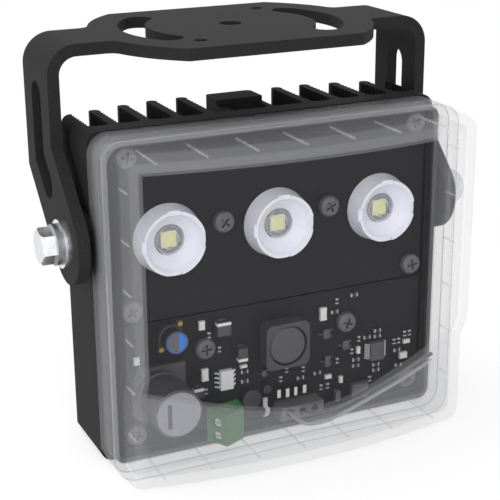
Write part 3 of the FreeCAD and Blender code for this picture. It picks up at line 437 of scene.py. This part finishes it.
# %% Dress the nodes
EMITTER_Z = -45.9
EMITTER_X = {"left": -29.35, "middle": 0.0, "right": 29.35}
node_finish = {
    "mounting_bracket": powder_coat, "heat_sink_housing": anodised, "cover_gasket": seal_rubber,
    "led_board": solder_mask, "driver_board": solder_mask, "thermal_pad": soft_pad,
    "corner_screws": screw_plate, "inner_screws": screw_plate, "main_capacitor": can_sleeve,
    "small_capacitor": bare_can, "inductor_base": inductor_case, "inductor_core": ferrite,
    "terminal_block": green_nylon, "terminal_screws": tin_plate, "driver_chip": pale_case,
    "controller_chip": chip_end, "banded_diodes": diode_case, "chip_capacitors": pale_ceramic,
    "chip_resistors": chip_end, "tall_capacitors": moulded_black, "small_transistors": dark_case,
    "round_coils": coil_case, "filter_blocks": filter_case, "wire_connector": grey_nylon,
    "lead_white": white_lead_painted_shade, "lead_black": black_lead, "front_cover": cover_plastic,
}
for side in ("left", "right"):
    node_finish["pivot_bolt_" + side] = zinc_plate
    node_finish["flat_washer_" + side] = zinc_plate
    node_finish["spring_washer_" + side] = spring_plate
for place, x in EMITTER_X.items():
    node_finish["led_emitter_" + place] = phosphor
    node_finish["lens_holder_" + place] = holder_white
    node_finish["lens_" + place] = lens_finish("clear_acrylic_" + place, (x, EMITTER_Z),
                                               LENS_PROFILE)


def dress(node, finish):
    """Put one finish in every material slot of a node."""
    materials = node.data.materials
    if not len(materials):
        materials.append(finish)
    for index in range(len(materials)):
        materials[index] = finish


for name, finish in node_finish.items():
    dress(nodes[name], finish)
print("dressed", len(node_finish), "of", len(nodes))

# %% [markdown]
# ## Meshes from formulas
# New pieces could be built by hand from modifiers. Here they are grids of
# points worked out as whole arrays, because each point then follows from a
# formula. Where the rows of a grid close on themselves, the last column joins
# the first.

# %% Mesh helpers


def mesh_piece(name, points, faces, finish, body="head", smooth=True):
    """Points and faces to a shown piece that rides on a body."""
    mesh = bpy.data.meshes.new(name)
    mesh.from_pydata(np.asarray(points, float).tolist(), [], [list(map(int, f)) for f in faces])
    mesh.materials.append(finish)
    mesh.polygons.foreach_set("use_smooth", np.full(len(mesh.polygons), smooth))
    mesh.validate()
    piece = bpy.data.objects.new(name, mesh)
    bpy.context.scene.collection.objects.link(piece)
    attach(piece, body)
    return piece


def ring_faces(rings, columns, start=0):
    """Quads between closed rings: ring i, column j joins ring i+1, column j+1."""
    i, j = np.meshgrid(np.arange(rings - 1), np.arange(columns), indexing="ij")
    a = start + i * columns + j
    b = start + i * columns + (j + 1) % columns
    return np.stack([a, b, b + columns, a + columns], -1).reshape(-1, 4)


print("two rings of four points give", len(ring_faces(2, 4)), "faces")

# %% [markdown]
# ## Form of the cover
# One moulding, 2.5 mm thick. From the front it is a rounded rectangle, its
# face is domed from side to side, and below a shallow arch it drops back by
# 2.8 mm through a smooth step. The dome is a long arc and the arch a
# hyperbola, since both can be written in one line and bend without a kink.

# %% Cover sizes in millimetres, with its ends taken from the node's own box
low, high = (np.array(v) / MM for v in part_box("front_cover"))
HEAD_HALF_X = 47.5
LIP = 0.5
MID_Z = (low[2] + high[2]) / 2
HALF_X = HEAD_HALF_X - LIP
HALF_Z = (high[2] - low[2]) / 2 - LIP
BACK_Y = high[1]
FRONT_Y = -51.5
DOME_RADIUS, STEP_DEPTH, STEP_HEIGHT = 207.0, 2.8, 8.6
ARCH_Z, ARCH_ROUND, ARCH_SLOPE = -88.3, 5.4, 0.40


def dome_depth(x, z):
    """Depth y of the face at x, z.

    y = front + R - sqrt(R^2 - x^2) + depth * (1 - cos(pi t)) / 2, where t grows
    from 0 to 1 down the step below z = a - r + sqrt(r^2 + (s x)^2).
    """
    dome = FRONT_Y + DOME_RADIUS - np.sqrt(DOME_RADIUS ** 2 - x * x)
    arch = ARCH_Z - ARCH_ROUND + np.hypot(ARCH_ROUND, ARCH_SLOPE * x)
    t = np.clip((arch + STEP_HEIGHT / 2 - z) / STEP_HEIGHT, 0, 1)
    return dome + STEP_DEPTH * (1 - np.cos(np.pi * t)) / 2


print("cover half width", HALF_X, "half height", round(HALF_Z, 2))

# %% [markdown]
# ## Outline of the cover
# Seen from the front the wall is straight along the sides and round at the
# corners. Points and outward normals are listed together, so that the same
# outline can be drawn inwards or outwards by any width.

# %% Cover outline
EDGE_RADIUS, CORNER, WALL = 4.25, 4.5, 2.5
INNER_EDGE_RADIUS, LEAST_CORNER = 1.75, 2.0


def rounded_outline(half_x, half_z, corner, per_side=56, per_corner=16):
    """Points and outward normals round a rectangle whose corners are quarter circles.

    A corner is (w - r + r cos a, h - r + r sin a); each quarter is turned by k pi / 2.
    """
    points, normals = [], []
    for k in range(4):
        turn = k * math.pi / 2
        wide, tall = (half_x, half_z) if k % 2 == 0 else (half_z, half_x)
        t = np.linspace(-1, 1, per_side, endpoint=False)
        side = np.stack([np.full(per_side, wide), t * (tall - corner)], -1)
        angle = np.linspace(0, math.pi / 2, per_corner, endpoint=False)
        arc_n = np.stack([np.cos(angle), np.sin(angle)], -1)
        arc = np.array([wide - corner, tall - corner]) + corner * arc_n
        side_n = np.tile([1.0, 0.0], (per_side, 1))
        c, s = math.cos(turn), math.sin(turn)
        spin = np.array([[c, s], [-s, c]])
        points.append(np.concatenate([side, arc]) @ spin)
        normals.append(np.concatenate([side_n, arc_n]) @ spin)
    return np.concatenate(points), np.concatenate(normals)


print("outline points", len(rounded_outline(HALF_X, HALF_Z, CORNER)[0]))

# %% [markdown]
# ## Skins of the cover
# The outer and the inner skin are rings that follow the outline: up the wall,
# round the front edge and in to the middle of the face. The wall has a lap
# over the body, a groove and a lip, given as a profile of pairs: width outside
# the outline, and depth. Rings keep the points even, so the dome stays smooth.

# %% Cover skins
GROOVE_BACK, GROOVE_FRONT, LIP_FRONT, SHOULDER = -31.0, -32.7, -35.7, -28.53
SKIRT_WALL = 1.2
OUTER_WALL = [(LIP, BACK_Y), (LIP, GROOVE_BACK + 0.25), (LIP - 0.15, GROOVE_BACK),
              (0.0, GROOVE_BACK), (0.0, GROOVE_FRONT), (LIP - 0.15, GROOVE_FRONT),
              (LIP, GROOVE_FRONT - 0.2), (LIP, LIP_FRONT + 0.25),
              (LIP - 0.2, LIP_FRONT + 0.05), (0.0, LIP_FRONT)]
LAP = LIP - SKIRT_WALL + WALL
INNER_WALL = [(LAP, BACK_Y), (LAP, SHOULDER), (0.0, SHOULDER), (0.0, SHOULDER - 0.6)]
WALL_SHARES = (0.0, 0.35, 0.7, 1.0)
EDGE_ANGLES = np.linspace(0, math.pi / 2, 9)[1:]
FACE_SHARES = np.concatenate([[0.9985], np.linspace(0.985, 0.04, 64)])


def shell_skin(inset, edge, wall_profile):
    """Rings of one skin and their frost, edge and lip numbers, from the back to the middle.

    The edge is a quarter round: out = edge * cos a, depth = edge_y - edge * sin a.
    """
    outline, normal = rounded_outline(HALF_X - inset, HALF_Z - inset,
                                      max(CORNER - inset, LEAST_CORNER))
    inner = outline - edge * normal
    edge_y = dome_depth(inner[:, 0], inner[:, 1] + MID_Z) + inset + edge
    rings, marks = [], []

    def add_ring(flat, depth, frost, edge_mark=0, lip_mark=0):
        y = np.broadcast_to(depth, len(flat))
        rings.append(np.column_stack([flat[:, 0], y, flat[:, 1]]))
        marks.append((frost, edge_mark, lip_mark))

    for out, y in wall_profile:
        add_ring(outline + out * normal, y, 1, lip_mark=1 if inset == 0.0 else 0)
    for share in WALL_SHARES:
        add_ring(outline, LIP_FRONT + (edge_y - LIP_FRONT) * share, 1)
    for a in EDGE_ANGLES:
        add_ring(inner + edge * math.cos(a) * normal, edge_y - edge * math.sin(a), 1, edge_mark=1)
    for share in FACE_SHARES:
        flat = inner * share
        add_ring(flat, dome_depth(flat[:, 0], flat[:, 1] + MID_Z) + inset, 0)
    points = np.stack(rings)
    points[:, :, 2] += MID_Z
    return points, np.repeat(np.array(marks, float)[:, None, :], points.shape[1], axis=1)


outer, outer_marks = shell_skin(0.0, EDGE_RADIUS, OUTER_WALL)
inner, inner_marks = shell_skin(WALL, INNER_EDGE_RADIUS, INNER_WALL)
print("rings of the outer skin", len(outer), "and of the inner", len(inner))

# %% [markdown]
# ## Shell of the cover
# The two skins are joined at the back edge, and a small cap closes each in the
# middle of the face. The shell then is closed like the real moulding, and it
# takes the place of the CAD cover in the picture.

# %% Cover shell
WINDOW_SHIFT, WINDOW_RISE, WINDOW_ROUND = 5.0, 0.6, 5.0
WINDOW_SLOPES = (0.29, 0.42)


def arch_height(points):
    """Height over the lower end of the window, lowest a little right of the middle.

    h = z - (a + rise - r + sqrt(r^2 + (s x)^2)), with one slope s for each side.
    """
    x = points[:, 0] - WINDOW_SHIFT
    slope = np.where(x < 0, *WINDOW_SLOPES)
    return points[:, 2] - (ARCH_Z + WINDOW_RISE - WINDOW_ROUND + np.hypot(WINDOW_ROUND, slope * x))


def cover_shell():
    """Outer and inner skin, joined at the back edge, each closed by a small cap."""
    columns = outer.shape[1]
    points = np.concatenate([outer.reshape(-1, 3), inner.reshape(-1, 3)])
    marks = np.concatenate([outer_marks.reshape(-1, 3), inner_marks.reshape(-1, 3)])
    start = outer.shape[0] * columns
    outer_faces = ring_faces(outer.shape[0], columns)
    inner_faces = ring_faces(inner.shape[0], columns, start)[:, ::-1]
    j = np.arange(columns)
    back = np.stack([start + j, start + (j + 1) % columns, (j + 1) % columns, j], -1)
    outer_cap = list((outer.shape[0] - 1) * columns + j)
    inner_cap = list(start + (inner.shape[0] - 1) * columns + j)[::-1]
    faces = [list(f) for f in np.concatenate([outer_faces, inner_faces, back])]
    faces += [outer_cap, inner_cap]
    shell = mesh_piece("clear_cover", points * MM, faces, cover_plastic)
    for name, values in (("frost", marks[:, 0]), ("edge", marks[:, 1]), ("lip", marks[:, 2]),
                         ("above_arch", arch_height(points))):
        layer = shell.data.attributes.new(name, "FLOAT", "POINT")
        layer.data.foreach_set("value", values.astype(np.float32))
    return shell


clear_cover = cover_shell()
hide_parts("front_cover")
print("cover faces", len(clear_cover.data.polygons))

# %% [markdown]
# ## Ribs inside the cover
# Thin ribs run forwards on the inside of the four walls. Each is a low bar
# with a rounded crest, so it catches the light as a pale line. A half ellipse
# drawn from one end to the other is enough for that. The ribs' plastic is
# tinted pure white, lighter than the cover, as a painted highlight along each
# line.

# %% Cover ribs
RIB_WIDTH, RIB_HEIGHT = 0.45, 0.6
FLAT_PITCH, SIDE_PITCH, SIDE_MID_Z = 12.7, 12.4, -66.3
RIB_FRONT = FRONT_Y + 7.5
FLAT_BACK_CUT, FLAT_FRONT_CUT, SIDE_FRONT_CUT = 5.0, 0.5, 3.5


def rounded_bar(start, end, across, up, width, height, steps=8):
    """Bar whose section is a half ellipse: across * cos a * width / 2 + up * sin a * height."""
    angle = np.linspace(0, math.pi, steps)
    section = np.outer(np.cos(angle), np.array(across)) * width / 2
    section += np.outer(np.sin(angle), np.array(up)) * height
    points = np.concatenate([np.array(start) + section, np.array(end) + section])
    j = np.arange(steps)
    loop = np.stack([j, (j + 1) % steps, (j + 1) % steps + steps, j + steps], -1)
    faces = [list(f) for f in loop] + [list(j[::-1]), list(j + steps)]
    return points, faces


def cover_ribs():
    """Seven ribs on the top and bottom walls, six on each side wall."""
    inner_x, inner_z = HALF_X - WALL, HALF_Z - WALL
    bars = []
    for k in range(-3, 4):
        for side in (1, -1):
            x, z = FLAT_PITCH * k, MID_Z + side * inner_z
            bars.append(((x, LIP_FRONT + FLAT_BACK_CUT, z), (x, RIB_FRONT + FLAT_FRONT_CUT, z),
                         (1, 0, 0), (0, 0, -side)))
    for k in range(-2, 4):
        for side in (1, -1):
            x, z = side * inner_x, SIDE_MID_Z + SIDE_PITCH * k
            bars.append(((x, LIP_FRONT, z), (x, RIB_FRONT + SIDE_FRONT_CUT, z),
                         (0, 0, 1), (-side, 0, 0)))
    points, faces, count = [], [], 0
    for start, end, across, up in bars:
        bar_points, bar_faces = rounded_bar(start, end, across, up, RIB_WIDTH, RIB_HEIGHT)
        points.append(bar_points)
        faces += [[i + count for i in face] for face in bar_faces]
        count += len(bar_points)
    return mesh_piece("cover_ribs", np.concatenate(points) * MM, faces, rib_plastic_painted_highlight)


ribs = cover_ribs()
print("rib faces", len(ribs.data.polygons))

# %% [markdown]
# ## Emitters and lens holders
# The yellow chip sits on a grey round pad. Both are one solid, so the pad's
# colour is a thin disc laid over it. The white cup ends in a bright rim with
# four notches, laid on as four arcs. A thin ring costs less than a second
# material cut into the solid.

# %% Emitter pads and holder rims
BOARD_Y = -26.5
PAD_Y, PAD_INNER, PAD_OUTER, PAD_THICK = BOARD_Y - 0.40, 0.5, 3.72, 0.05
RIM_Y, RIM_INNER, RIM_OUTER, RIM_THICK = BOARD_Y - 5.18, 7.38, 8.08, 0.07
NOTCH_HALF = 12.5
RIM_SPANS = [(q + NOTCH_HALF, q + 90 - NOTCH_HALF) for q in range(0, 360, 90)]


def ring_plate(name, x, z, y, inner, outer, thick, finish, spans=((0, 360),)):
    """Flat ring about a line along Y, or arcs of it: a rectangle turned through each span."""
    points, faces, count = [], [], 0
    for first, last in spans:
        steps = max(int((last - first) / 5), 4)
        a = np.radians(np.linspace(first, last, steps + 1))
        for radius, depth in ((inner, y), (outer, y), (outer, y - thick), (inner, y - thick)):
            points.append(np.column_stack([x + radius * np.cos(a), np.full(len(a), depth),
                                           z + radius * np.sin(a)]))
        n = len(a)
        i = np.arange(n - 1)
        for k in range(4):
            row, above = count + k * n, count + ((k + 1) % 4) * n
            faces += np.stack([row + i, above + i, above + i + 1, row + i + 1], -1).tolist()
        faces += [[count + k * n for k in (3, 2, 1, 0)],
                  [count + k * n + n - 1 for k in range(4)]]
        count += 4 * n
    return mesh_piece(name, np.concatenate(points) * MM, faces, finish, smooth=False)


for word, x in EMITTER_X.items():
    pad = ring_plate("emitter_pad_" + word, x, EMITTER_Z, PAD_Y, PAD_INNER, PAD_OUTER, PAD_THICK,
                     emitter_pad)
    rim = ring_plate("holder_rim_" + word, x, EMITTER_Z, RIM_Y, RIM_INNER, RIM_OUTER, RIM_THICK,
                     rim_white, spans=RIM_SPANS)
print("pads and rims", 2 * len(EMITTER_X))

# %% [markdown]
# ## Places of the loose parts
# One node holds all the chip resistors, and another all the diodes. The places
# of the single parts could be written down again, but they are read from the
# nodes, by gathering the points that edges join, so they always agree.

# %% Loose boxes


def loose_boxes(name):
    """Corners in mm of each separate solid of a node, from left to right.

    Every point starts with its own number, and both ends of an edge take the
    lower one again and again, until each solid is left with a single number.
    """
    mesh = nodes[name].data
    place = np.array([v.co for v in mesh.vertices]) / MM
    _, label = np.unique(np.round(place, 2), axis=0, return_inverse=True)
    label = label.reshape(-1)
    pairs = label[np.array([e.vertices for e in mesh.edges])]
    group = np.arange(label.max() + 1)
    for _ in range(len(group)):
        least = np.minimum(group[pairs[:, 0]], group[pairs[:, 1]])
        before = group.copy()
        np.minimum.at(group, pairs[:, 0], least)
        np.minimum.at(group, pairs[:, 1], least)
        if (group == before).all():
            break
    owner = group[label]
    boxes = [(place[owner == k].min(0), place[owner == k].max(0)) for k in np.unique(owner)]
    return sorted(boxes, key=lambda pair: pair[0][0])


print("separate chip resistors", len(loose_boxes("chip_resistors")))

# %% [markdown]
# ## Thin plates
# A chip resistor or a can has a second colour on its front. It could be cut
# out of the solid, but the solids stay as they are, so thin closed plates are
# laid over them. A plate is an outline seen from the front and two depths.

# %% Outlines and plates


def rectangle(x0, z0, x1, z1):
    """Four corners of a rectangle, seen from the front."""
    return np.array([(x0, z0), (x1, z0), (x1, z1), (x0, z1)], float)


def arc_outline(x, z, radius, first=0.0, last=360.0):
    """Points (x + r cos a, z + r sin a) from one angle to another; the chord closes them."""
    steps = max(int((last - first) / 6), 6)
    a = np.radians(np.linspace(first, last, steps + 1))
    if last - first >= 360:
        a = a[:-1]
    return np.column_stack([x + radius * np.cos(a), z + radius * np.sin(a)])


def shrink(outline, by):
    """Outline drawn in towards its own middle by a length in mm."""
    middle = (outline.min(0) + outline.max(0)) / 2
    half = (outline.max(0) - outline.min(0)) / 2
    return middle + (outline - middle) * (half - by) / half


def plates(name, outlines, back, front, finish, chamfer=0.0):
    """Closed prisms between two depths, with a chamfer round the front where asked."""
    points, faces, count = [], [], 0
    for outline in outlines:
        rings = [(outline, back), (outline, front + chamfer)]
        if chamfer:
            rings.append((shrink(outline, chamfer), front))
        columns = len(outline)
        for ring, y in rings:
            points.append(np.column_stack([ring[:, 0], np.full(columns, y), ring[:, 1]]))
        faces += ring_faces(len(rings), columns, count).tolist()
        last = count + (len(rings) - 1) * columns
        faces += [list(range(count + columns - 1, count - 1, -1)),
                  list(range(last, last + columns))]
        count += len(rings) * columns
    piece = mesh_piece(name, np.concatenate(points) * MM, faces, finish, smooth=False)
    return piece


print("points of a full circle", len(arc_outline(0.0, 0.0, 1.0)))

# %% [markdown]
# ## Face of the large can
# The large can has a pale pressed face with a dark stroke that marks one pole.
# Both are plates: a disc, and a thin rectangle on top of it.

# %% Face of the large can
COAT = 0.04
MAIN_FACE_RADIUS = 5.7
STROKE_X, STROKE_Z = (-2.9, -1.8), (-3.4, 3.0)
main_low, main_high = (np.array(v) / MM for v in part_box("main_capacitor"))
main_x, main_z = (main_low[0] + main_high[0]) / 2, (main_low[2] + main_high[2]) / 2
stroke = rectangle(main_x + STROKE_X[0], main_z + STROKE_Z[0],
                   main_x + STROKE_X[1], main_z + STROKE_Z[1])
plates("main_can_face", [arc_outline(main_x, main_z, MAIN_FACE_RADIUS)], main_low[1],
       main_low[1] - COAT, can_face)
plates("main_can_mark", [stroke], main_low[1] - COAT, main_low[1] - 2 * COAT, can_sleeve)
print("large can at", round(main_x, 1), round(main_z, 1))

# %% [markdown]
# ## Face of the small can
# The small can has a blue ring, a face in two colours and two brass tabs at
# its base. The face is split along a chord, so each half is an arc whose ends
# the chord joins.

# %% Face of the small can
FACE_RADIUS, RING_RADIUS, SPLIT = 2.25, 2.78, 0.35
small_low, small_high = (np.array(v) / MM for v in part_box("small_capacitor"))
small_x, small_z = (small_low[0] + small_high[0]) / 2, (small_low[2] + small_high[2]) / 2
turn = math.degrees(math.acos(SPLIT / FACE_RADIUS))
blue_ring = ring_plate("small_can_ring", small_x, small_z, small_low[1], FACE_RADIUS,
                       RING_RADIUS, COAT, blue_print)
plates("small_can_left", [arc_outline(small_x, small_z, FACE_RADIUS, turn, 360 - turn)],
       small_low[1], small_low[1] - COAT, brown_grey)
plates("small_can_right", [arc_outline(small_x, small_z, FACE_RADIUS, -turn, turn)],
       small_low[1], small_low[1] - COAT, bright_blue)

TAB, TAB_INSET, TAB_OUT, TAB_IN, TAB_HEIGHT = 1.1, 0.15, 0.3, 0.7, 1.2
tabs = [rectangle(small_low[0] + TAB_INSET, small_low[2] - TAB_OUT,
                  small_low[0] + TAB_INSET + TAB, small_low[2] + TAB_IN),
        rectangle(small_high[0] - TAB_INSET - TAB, small_high[2] - TAB_IN,
                  small_high[0] - TAB_INSET, small_high[2] + TAB_OUT)]
plates("small_can_tabs", tabs, BOARD_Y, BOARD_Y - TAB_HEIGHT, brass_tab)
print("small can at", round(small_x, 1), round(small_z, 1))

# %% [markdown]
# ## Resistors and tall chips
# A chip resistor is bright at both ends and dark between them, so its node has
# the bright finish and a dark plate covers the middle. The tall chips are
# black with a pale ceramic front. The plates stand two hundredths of a
# millimetre proud, because faces in one plane would flicker.

# %% Resistors and tall chips
PROUD = 0.02
END, SIDE_SHOW, RESISTOR_HEIGHT = 0.3, 0.03, 0.49
middles = []
for lower, upper in loose_boxes("chip_resistors"):
    x0, _, z0 = lower
    x1, _, z1 = upper
    cut_x, cut_z = (END, SIDE_SHOW) if x1 - x0 > z1 - z0 else (SIDE_SHOW, END)
    middles.append(rectangle(x0 + cut_x, z0 + cut_z, x1 - cut_x, z1 - cut_z))
plates("resistor_glaze", middles, BOARD_Y, BOARD_Y - RESISTOR_HEIGHT - PROUD, chip_middle)

tops = [rectangle(lower[0], lower[2], upper[0], upper[2])
        for lower, upper in loose_boxes("tall_capacitors")]
tall_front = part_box("tall_capacitors")[0][1] / MM
plates("tall_chip_faces", tops, tall_front, tall_front - PROUD, pale_ceramic)
print("resistors", len(middles), "tall chips", len(tops))

# %% [markdown]
# ## Diodes, controller and bent strip
# A white band marks the cathode end of each diode. The controller's node has
# the bright finish of its legs, and a dark chamfered plate is its case. The
# bent strip beside the connector is tinned metal, an outline drawn as one line
# with a width.

# %% Diodes, controller and bent strip
BAND, BAND_INSET, BAND_SIDE = 0.8, 0.5, (1, 1, -1)
BAND_BACK, DIODE_FRONT = BOARD_Y - 0.3, BOARD_Y - 1.9
bands = []
for (lower, upper), side in zip(loose_boxes("banded_diodes"), BAND_SIDE):
    edge_z = upper[2] - BAND_INSET if side > 0 else lower[2] + BAND_INSET
    low_z, high_z = sorted((edge_z, edge_z - side * BAND))
    bands.append(rectangle(lower[0] - PROUD, low_z, upper[0] + PROUD, high_z))
plates("diode_bands", bands, BAND_BACK, DIODE_FRONT - PROUD, band_white)

LEG_REACH, CASE_CHAMFER, CASE_BACK = 1.18, 0.08, BOARD_Y - 0.1
chip_low, chip_high = (np.array(v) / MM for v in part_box("controller_chip"))
case_outline = rectangle(chip_low[0] + LEG_REACH - PROUD, chip_low[2] - PROUD,
                         chip_high[0] - LEG_REACH + PROUD, chip_high[2] + PROUD)
plates("controller_case", [case_outline], CASE_BACK + PROUD, chip_low[1] - PROUD - CASE_CHAMFER,
       dark_case, chamfer=CASE_CHAMFER)

STRIP_WIDTH, STRIP_THICK = 1.2, 0.5
STRIP_LINE = ((-3.33, -93.95), (-3.34, -96.38), (-2.62, -97.21), (-2.71, -98.64), (-3.35, -99.38))
line = np.array(STRIP_LINE)
strip = np.concatenate([line - (STRIP_WIDTH / 2, 0), (line + (STRIP_WIDTH / 2, 0))[::-1]])
plates("bent_strip", [strip], BOARD_Y, BOARD_Y - STRIP_THICK, chip_end)
print("diodes", len(bands), "points of the strip", len(strip))

# %% [markdown]
# ## Bare end of the white lead
# The insulation of the white lead is cut back and its tinned strands show as a
# short rod. It is drawn as circles square to the line between its two ends,
# the last ones smaller, which rounds the tip.

# %% Bare end of the white lead
TIP_FROM, TIP_TO, TIP_RADIUS = (38.8, -38.4, -87.5), (40.3, -38.4, -86.83), 0.34
TIP_ROUND = ((0.12, 1.0), (0.03, 0.85), (0.0, 0.5))


def round_rod(start, end, radius, steps=16):
    """Rod between two points: rings c + r (u cos a + v sin a), with u and v square to it."""
    start, end = np.array(start), np.array(end)
    axis = (end - start) / np.linalg.norm(end - start)
    side = np.cross(axis, (0.0, 1.0, 0.0))
    side /= np.linalg.norm(side)
    other = np.cross(axis, side)
    a = np.arange(steps) * 2 * math.pi / steps
    circle = np.outer(np.cos(a), side) + np.outer(np.sin(a), other)
    rings = [(start, 1.0)] + [(end - short * axis, share) for short, share in TIP_ROUND]
    points = np.concatenate([centre + circle * radius * share for centre, share in rings])
    faces = ring_faces(len(rings), steps).tolist()
    last = (len(rings) - 1) * steps
    faces += [list(range(steps - 1, -1, -1)), list(range(last, last + steps))]
    return points, faces


tip_points, tip_faces = round_rod(TIP_FROM, TIP_TO, TIP_RADIUS)
lead_tip = mesh_piece("lead_tip", tip_points * MM, tip_faces, chip_end)
print("tip points", len(tip_points))

# %% [markdown]
# ## Floor
# The photograph has a white ground that only keeps a soft shadow. A pale floor
# takes the shadow, and its opacity falls off with the distance from the lamp,
# so that it melts into the background. A faint glow, seen by the camera and
# through the clear parts only, lifts it to the white of the background.

# %% Floor
FLOOR_HALF = 1.2
FLOOR_GREY, FLOOR_ROUGH, FLOOR_LIFT = 0.92, 0.9, 0.36
FADE_SCALE, FADE_FULL, FLOOR_OPACITY = 5.0, 0.6, 0.55


def seen_rays(tree):
    """1 for rays that show the background: from the camera, off gloss, through clear parts."""
    path = add_node(tree, "ShaderNodeLightPath")
    seen = path.outputs["Is Camera Ray"]
    for ray in ("Is Glossy Ray", "Is Transmission Ray"):
        seen = add_node(tree, "ShaderNodeMath", {"operation": "MAXIMUM"},
                        {0: seen, 1: path.outputs[ray]}).outputs["Value"]
    return seen


def make_floor():
    """Square at the lamp's lower end; its opacity falls from the middle to nothing."""
    mesh = bpy.data.meshes.new("floor")
    z = low[2] * MM
    corners = ((-1, -1), (1, -1), (1, 1), (-1, 1))
    mesh.from_pydata([(x * FLOOR_HALF, y * FLOOR_HALF, z) for x, y in corners], [],
                     [(0, 1, 2, 3)])
    floor = bpy.data.objects.new("floor", mesh)
    bpy.context.scene.collection.objects.link(floor)
    material, tree, shader = new_finish("pale_floor")
    shader.inputs["Base Color"].default_value = (FLOOR_GREY, FLOOR_GREY, FLOOR_GREY, 1)
    shader.inputs["Roughness"].default_value = FLOOR_ROUGH
    shader.inputs["Specular IOR Level"].default_value = 0.0
    place = object_place(tree, (FADE_SCALE, FADE_SCALE, 0.0))
    fade = add_node(tree, "ShaderNodeTexGradient", {"gradient_type": "SPHERICAL"},
                    {"Vector": place})
    smooth = add_node(tree, "ShaderNodeMapRange", {"interpolation_type": "SMOOTHSTEP"},
                      {"Value": fade.outputs["Fac"], "From Max": FADE_FULL,
                       "To Max": FLOOR_OPACITY})
    tree.links.new(smooth.outputs["Result"], shader.inputs["Alpha"])
    lift = add_node(tree, "ShaderNodeMapRange",
                    inputs={"Value": seen_rays(tree), "To Max": FLOOR_LIFT})
    tree.links.new(lift.outputs["Result"], shader.inputs["Emission Strength"])
    shader.inputs["Emission Color"].default_value = (1, 1, 1, 1)
    mesh.materials.append(material)


make_floor()
print("floor at", round(low[2], 1), "mm")

# %% [markdown]
# ## Background and lamps
# The world is white where the camera sees it, in reflections and through the
# clear parts, and a soft grey for the light that it sheds, so the background
# stays white and the lamp keeps its shading. Three large soft lamps light it
# from the front, from above and from the left, as in a photographer's tent.

# %% Background and lamps
WORLD_WHITE, WORLD_AMBIENT = 1.0, 0.50
LAMP_TARGET = (0.0, -0.02, -0.055)
LAMPS = (("front_lamp", (-0.35, -1.05, 0.35), (1.1, 1.1), 6.4),
         ("top_lamp", (-0.4, 0.35, 0.95), (0.9, 0.9), 3.2),
         ("left_lamp", (-1.1, -0.15, 0.1), (0.7, 0.9), 1.9))


def make_world(white, ambient):
    """White to the camera, to mirrors and through clear parts; a soft grey to the rest."""
    world = bpy.data.worlds.new("studio")
    bpy.context.scene.world = world
    world.use_nodes = True
    tree = world.node_tree
    tree.nodes.clear()
    strength = add_node(tree, "ShaderNodeMapRange",
                        inputs={"Value": seen_rays(tree), "To Min": ambient, "To Max": white})
    back = add_node(tree, "ShaderNodeBackground",
                    inputs={"Color": (1, 1, 1, 1), "Strength": strength.outputs["Result"]})
    add_node(tree, "ShaderNodeOutputWorld", inputs={"Surface": back.outputs["Background"]})


def soft_lamp(name, place, size, power):
    """Rectangular lamp at a place in metres, turned to the lamp head."""
    data = bpy.data.lights.new(name, "AREA")
    data.shape = "RECTANGLE"
    data.size, data.size_y = size
    data.energy = power
    lamp = bpy.data.objects.new(name, data)
    lamp.location = Vector(place)
    aim = Vector(LAMP_TARGET) - Vector(place)
    lamp.rotation_euler = aim.to_track_quat("-Z", "Y").to_euler()
    bpy.context.scene.collection.objects.link(lamp)


make_world(WORLD_WHITE, WORLD_AMBIENT)
for name, place, size, power in LAMPS:
    soft_lamp(name, place, size, power)
bpy.context.scene.view_settings.view_transform = "Standard"
print("lamps", len(LAMPS))
